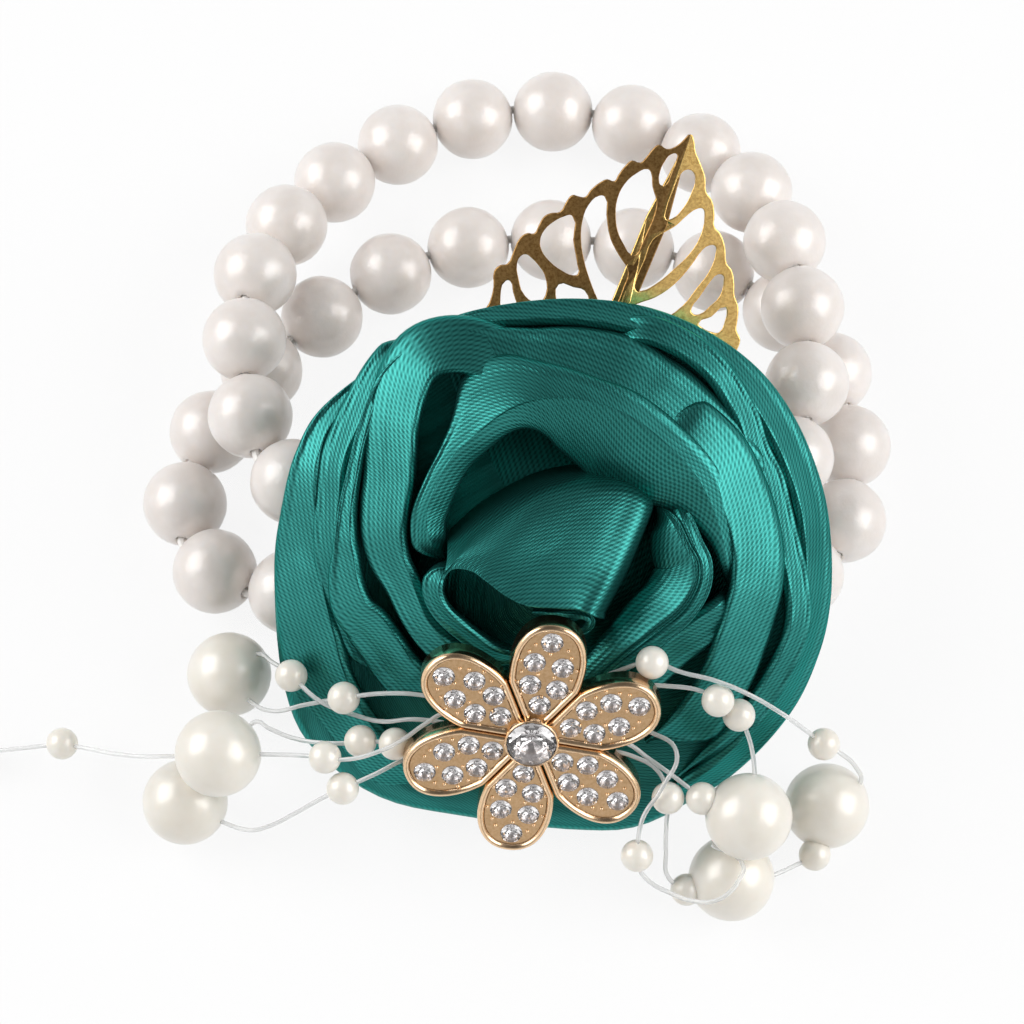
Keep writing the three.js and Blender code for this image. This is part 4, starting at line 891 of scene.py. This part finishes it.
def on_charm(x, y, z):
    return on_flower(
        CHARM_CENTRE[0] + x,
        CHARM_CENTRE[1] + y * cos(CHARM_TILT) - z * sin(CHARM_TILT),
        CHARM_SEAT + y * sin(CHARM_TILT) + z * cos(CHARM_TILT),
    )


def spun(angle, x, y):
    return x * cos(angle) - y * sin(angle), x * sin(angle) + y * cos(angle)


def on_petal(angle, x, y, z):
    return on_charm(*spun(angle, x, y), z)


def petal_tray(angle):
    """A petal's back, wall, rim and groove, with a floor at the groove's foot."""
    points = [on_petal(angle, *place, height) for inset, height in RIM_PROFILE for place in petal_loop(inset)]
    count = len(points) // len(RIM_PROFILE)
    faces = stitched(len(RIM_PROFILE), count, inward=True)
    floor = len(points) - count
    for c in range(count // 2):
        far = count - 1 - c
        back = (c, c + 1, far - 1, far)
        front = (floor + c + 1, floor + c, floor + far, floor + far - 1)
        faces += [tuple(dict.fromkeys(back)), tuple(dict.fromkeys(front))]
    return points, faces


rose_gold = gold_finish("rose_gold", (0.86, 0.62, 0.40), (0.76, 0.52, 0.31), 0.2)
trays = new_piece("charm_petal_trays", *gathered(petal_tray(angle) for angle in charm_turns), rose_gold)
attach(trays, "flower")
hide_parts("flower_charm")


def pierced_floor():
    """A petal's floor between its rim and its six round holes, and the holes' walls, as flat points and faces."""
    hole = ring(PETAL_STONE / 2, HOLE_SIDES)
    holes = [[(x + dx, y + dy) for dx, dy in hole] for x, y in PETAL_STONES]
    places, edges = [], []
    for loop in (petal_loop(FLOOR_INSET), *holes):
        first = len(places)
        places += [Vector(place) for place in loop]
        edges += [(first + k, first + (k + 1) % len(loop)) for k in range(len(loop))]
    flat, _, triangles, *_ = delaunay_2d_cdt(places, edges, [], 1, 1e-4)
    points = [(place.x, place.y, FLOOR_HEIGHT) for place in flat]
    faces = []
    for face in triangles:
        middle = sum((flat[k] for k in face), Vector((0, 0))) / len(face)
        if all((middle - Vector(stone)).length > PETAL_STONE / 2 * HOLE_SHARE for stone in PETAL_STONES):
            faces.append(tuple(face))
    for loop in holes:
        faces += stitched(2, HOLE_SIDES, len(points), inward=True)
        for height in (FLOOR_HEIGHT, FLOOR_HEIGHT - FLOOR_SHEET):
            points += [(x, y, height) for x, y in loop]
    return points, faces


flat_floor, floor_faces = pierced_floor()
placed_floors = [([on_petal(angle, *place) for place in flat_floor], floor_faces) for angle in charm_turns]
floor_gold = gold_finish("matt_rose_gold", (0.76, 0.51, 0.29), (0.64, 0.40, 0.20), 0.34)
floors = new_piece("charm_petal_floors", *gathered(placed_floors), floor_gold, smooth=False)
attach(floors, "flower")


def charm_grain(angle, x, y):
    points = []
    for rise in GRAIN_DOME:
        height = FLOOR_HEIGHT - GRAIN_SINK + GRAIN * sin(rise)
        for dx, dy in ring(GRAIN * cos(rise), GRAIN_SIDES):
            points.append(on_petal(angle, x + dx, y + dy, height))
    top = range(len(points) - GRAIN_SIDES, len(points))
    return points, [*stitched(len(GRAIN_DOME), GRAIN_SIDES), tuple(top)]


placed_grains = [charm_grain(angle, x, y) for angle in charm_turns for x, y in GRAINS]
grains = new_piece("charm_grains", *gathered(placed_grains), rose_gold)
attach(grains, "flower")

# Stones: clear cut glass with a flat top and a pointed, silvered back. Six small ones are set in each petal and
# a large one stands in a rimmed cup at the middle.
CENTRE_STONE = 4.5
CUP_PROFILE = [
    (2.5, 0.0), (2.5, 2.3), (2.47, 2.6), (2.42, 2.72), (2.36, 2.76), (2.29, 2.7), (2.24, 2.3), (0.2, 0.75),
]
CENTRE_HEIGHT = 2.72
CUT_SIDES = 8
CUT_TABLE = 0.56
CUT_CROWN = 0.3
CUT_BACK = 0.78
CUT_WAIST, WAIST_DEPTH = 0.5, 0.42
STONE_PLAY = 0.03
STONE_LIFT = 0.06
STONE_SPIN = 0.7
PETAL_SPIN = 1.3
SILVER_PROFILE = [(1.0, -0.02), (0.52, -0.36), (0.02, -0.82)]
CENTRE_PLAY = 0.02
CUP_SIDES = 48


def cut_stone(radius):
    """A round cut stone, its girdle at height 0, its table above and its point below."""
    table = [(radius * CUT_TABLE, k, radius * CUT_CROWN) for k in range(CUT_SIDES)]
    girdle = [(radius, k / 2, 0.0) for k in range(2 * CUT_SIDES)]
    waist = -radius * CUT_BACK * WAIST_DEPTH
    back = [(radius * CUT_WAIST, k + 0.5, waist) for k in range(CUT_SIDES)]
    points = []
    for reach, step, height in table + girdle + back:
        angle = 2 * pi * step / CUT_SIDES
        points.append((reach * cos(angle), reach * sin(angle), height))
    points.append((0, 0, -radius * CUT_BACK))
    top, belt, low, tip = 0, CUT_SIDES, 3 * CUT_SIDES, 4 * CUT_SIDES
    faces = [tuple(range(CUT_SIDES))]
    for k in range(CUT_SIDES):
        after = (k + 1) % CUT_SIDES
        here, half, there = belt + 2 * k, belt + 2 * k + 1, belt + (2 * k + 2) % (2 * CUT_SIDES)
        faces += [(top + k, here, half), (top + k, half, top + after), (top + after, half, there)]
        faces += [(here, low + k, half), (half, low + k, there)]
        faces += [(there, low + k, low + after), (low + k, tip, low + after)]
    return points, faces


crystal = grained_finish(
    "clear_crystal", (0.97, 0.95, 0.95), 0.02, grain=((1500, 1), 0.03, 0.05), Transmission_Weight=1.0, IOR=1.6
)
small_points, small_faces = cut_stone(PETAL_STONE / 2 - STONE_PLAY)
set_stones = []
for petal, angle in enumerate(charm_turns):
    for index, (x, y) in enumerate(PETAL_STONES):
        stone = []
        for px, py, pz in small_points:
            dx, dy = spun(STONE_SPIN * index + PETAL_SPIN * petal, px, py)
            stone.append(on_petal(angle, x + dx, y + dy, FLOOR_HEIGHT + STONE_LIFT + pz))
        set_stones.append((stone, small_faces))
petal_stones = new_piece("petal_stones", *gathered(set_stones), crystal, smooth=False)
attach(petal_stones, "flower")


def silvered_back(radius, angle, x, y, height):
    """A silvered cup a hair outside a cut stone's pointed back, its girdle at the given height."""
    sides = 2 * CUT_SIDES
    points = []
    for reach, depth in SILVER_PROFILE:
        for dx, dy in ring(radius * reach, sides):
            points.append(on_petal(angle, x + dx, y + dy, height + radius * depth))
    return points, stitched(len(SILVER_PROFILE), sides, inward=True)


silvered = [
    silvered_back(PETAL_STONE / 2, angle, x, y, FLOOR_HEIGHT) for angle in charm_turns for x, y in PETAL_STONES
]
silvered.append(silvered_back(CENTRE_STONE / 2 + CENTRE_PLAY, CHARM_TURN, 0, 0, CENTRE_HEIGHT))
silver = grained_finish("silvered_back", (0.93, 0.91, 0.91), 0.32, 1.0, grain=((2600, 2), 0.25, 0.1))
backs = new_piece("stone_backs", *gathered(silvered), silver, smooth=False)
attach(backs, "flower")

large_points, large_faces = cut_stone(CENTRE_STONE / 2)
raised = [on_charm(x, y, z + CENTRE_HEIGHT) for x, y, z in large_points]
centre_stone = new_piece("centre_stone", raised, large_faces, crystal, smooth=False)
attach(centre_stone, "flower")
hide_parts("charm_stone")

charm_normal = (on_charm(0, 0, 1) - on_charm(0, 0, 0)).normalized()
cup = new_piece("centre_cup", *turned(CUP_PROFILE, on_charm(0, 0, 0), charm_normal, CUP_SIDES), rose_gold)
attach(cup, "flower")

# Table top and light: a pale, see-through sheet over a white ground, so that the lower row can be seen where it
# swings down past it, two large soft lamps above the left and right, and white surroundings.
TABLE_SIZE = 2.0
CLEARNESS = 0.88


def table_finish():
    """A pale sheet that keeps faint shadows; most of what is seen in it is the white ground behind it."""
    material, tree, shader = new_material("pale_table", (0.9, 0.9, 0.9), 0.8)
    rays = add_node(tree, "ShaderNodeLightPath").outputs
    clear = add_node(tree, "ShaderNodeBsdfTransparent")
    glow = add_node(tree, "ShaderNodeEmission")
    surface = shader
    for first, second, shown in (("Camera", "Shadow", clear), ("Glossy", "Transmission", glow)):
        either = add_node(
            tree, "ShaderNodeMath", rays[f"Is {first} Ray"], rays[f"Is {second} Ray"], operation="MAXIMUM"
        )
        share = add_node(tree, "ShaderNodeMath", either, CLEARNESS, operation="MULTIPLY")
        surface = add_node(tree, "ShaderNodeMixShader", share, surface, shown)
    feed(tree, tree.nodes["Material Output"], dict(Surface=surface))
    return material


half = TABLE_SIZE / 2
corners = [(-half, -half, 0), (half, -half, 0), (half, half, 0), (-half, half, 0)]
table = new_piece("table_top", corners, [(0, 1, 2, 3)], table_finish())

LAMPS = {"lamp_left": (-0.55, 0.09, 0.44), "lamp_right": (0.55, -0.10, 0.42)}
LAMP_SIZE = 0.55
LAMP_POWER = 3.3
for name, place in LAMPS.items():
    lamp = new_object(name, bpy.data.lights.new(name, "AREA"))
    lamp.data.size = LAMP_SIZE
    lamp.data.energy = LAMP_POWER
    lamp.location = place
    lamp.rotation_euler = Vector(place).to_track_quat("Z", "Y").to_euler()

ROOM_LIGHT = 0.34
FRONT_AND_BACK = 0.42
CEILING = 0.26
world = bpy.data.worlds.new("surroundings")
bpy.context.scene.world = world
world.use_nodes = True
tree = world.node_tree
rays = add_node(tree, "ShaderNodeLightPath").outputs
mirroring = add_node(
    tree, "ShaderNodeMath", rays["Is Glossy Ray"], rays["Is Transmission Ray"], operation="MAXIMUM"
)
place = add_node(tree, "ShaderNodeTexCoord").outputs["Generated"]
way = add_node(tree, "ShaderNodeSeparateXYZ", place).outputs
walls = add_node(
    tree, "ShaderNodeMapRange", interpolation_type="SMOOTHSTEP", Value=way["Z"],
    From_Min=0.45, From_Max=0.8, To_Min=1.0, To_Max=CEILING,
)
sideways = add_node(tree, "ShaderNodeMath", way["X"], operation="ABSOLUTE")
sides = add_node(
    tree, "ShaderNodeMapRange", interpolation_type="SMOOTHSTEP", Value=sideways,
    From_Min=0.1, From_Max=0.7, To_Min=FRONT_AND_BACK, To_Max=1.0,
)
around = add_node(tree, "ShaderNodeMath", walls, sides, operation="MULTIPLY")
mirrored = add_node(tree, "ShaderNodeMapRange", Value=mirroring, To_Min=ROOM_LIGHT, To_Max=around)
shown = add_node(tree, "ShaderNodeMapRange", Value=rays["Is Camera Ray"], To_Min=mirrored, To_Max=1.0)
feed(tree, tree.nodes["Background"], dict(Color=(1, 1, 1, 1), Strength=shown))

bpy.context.view_layer.update()
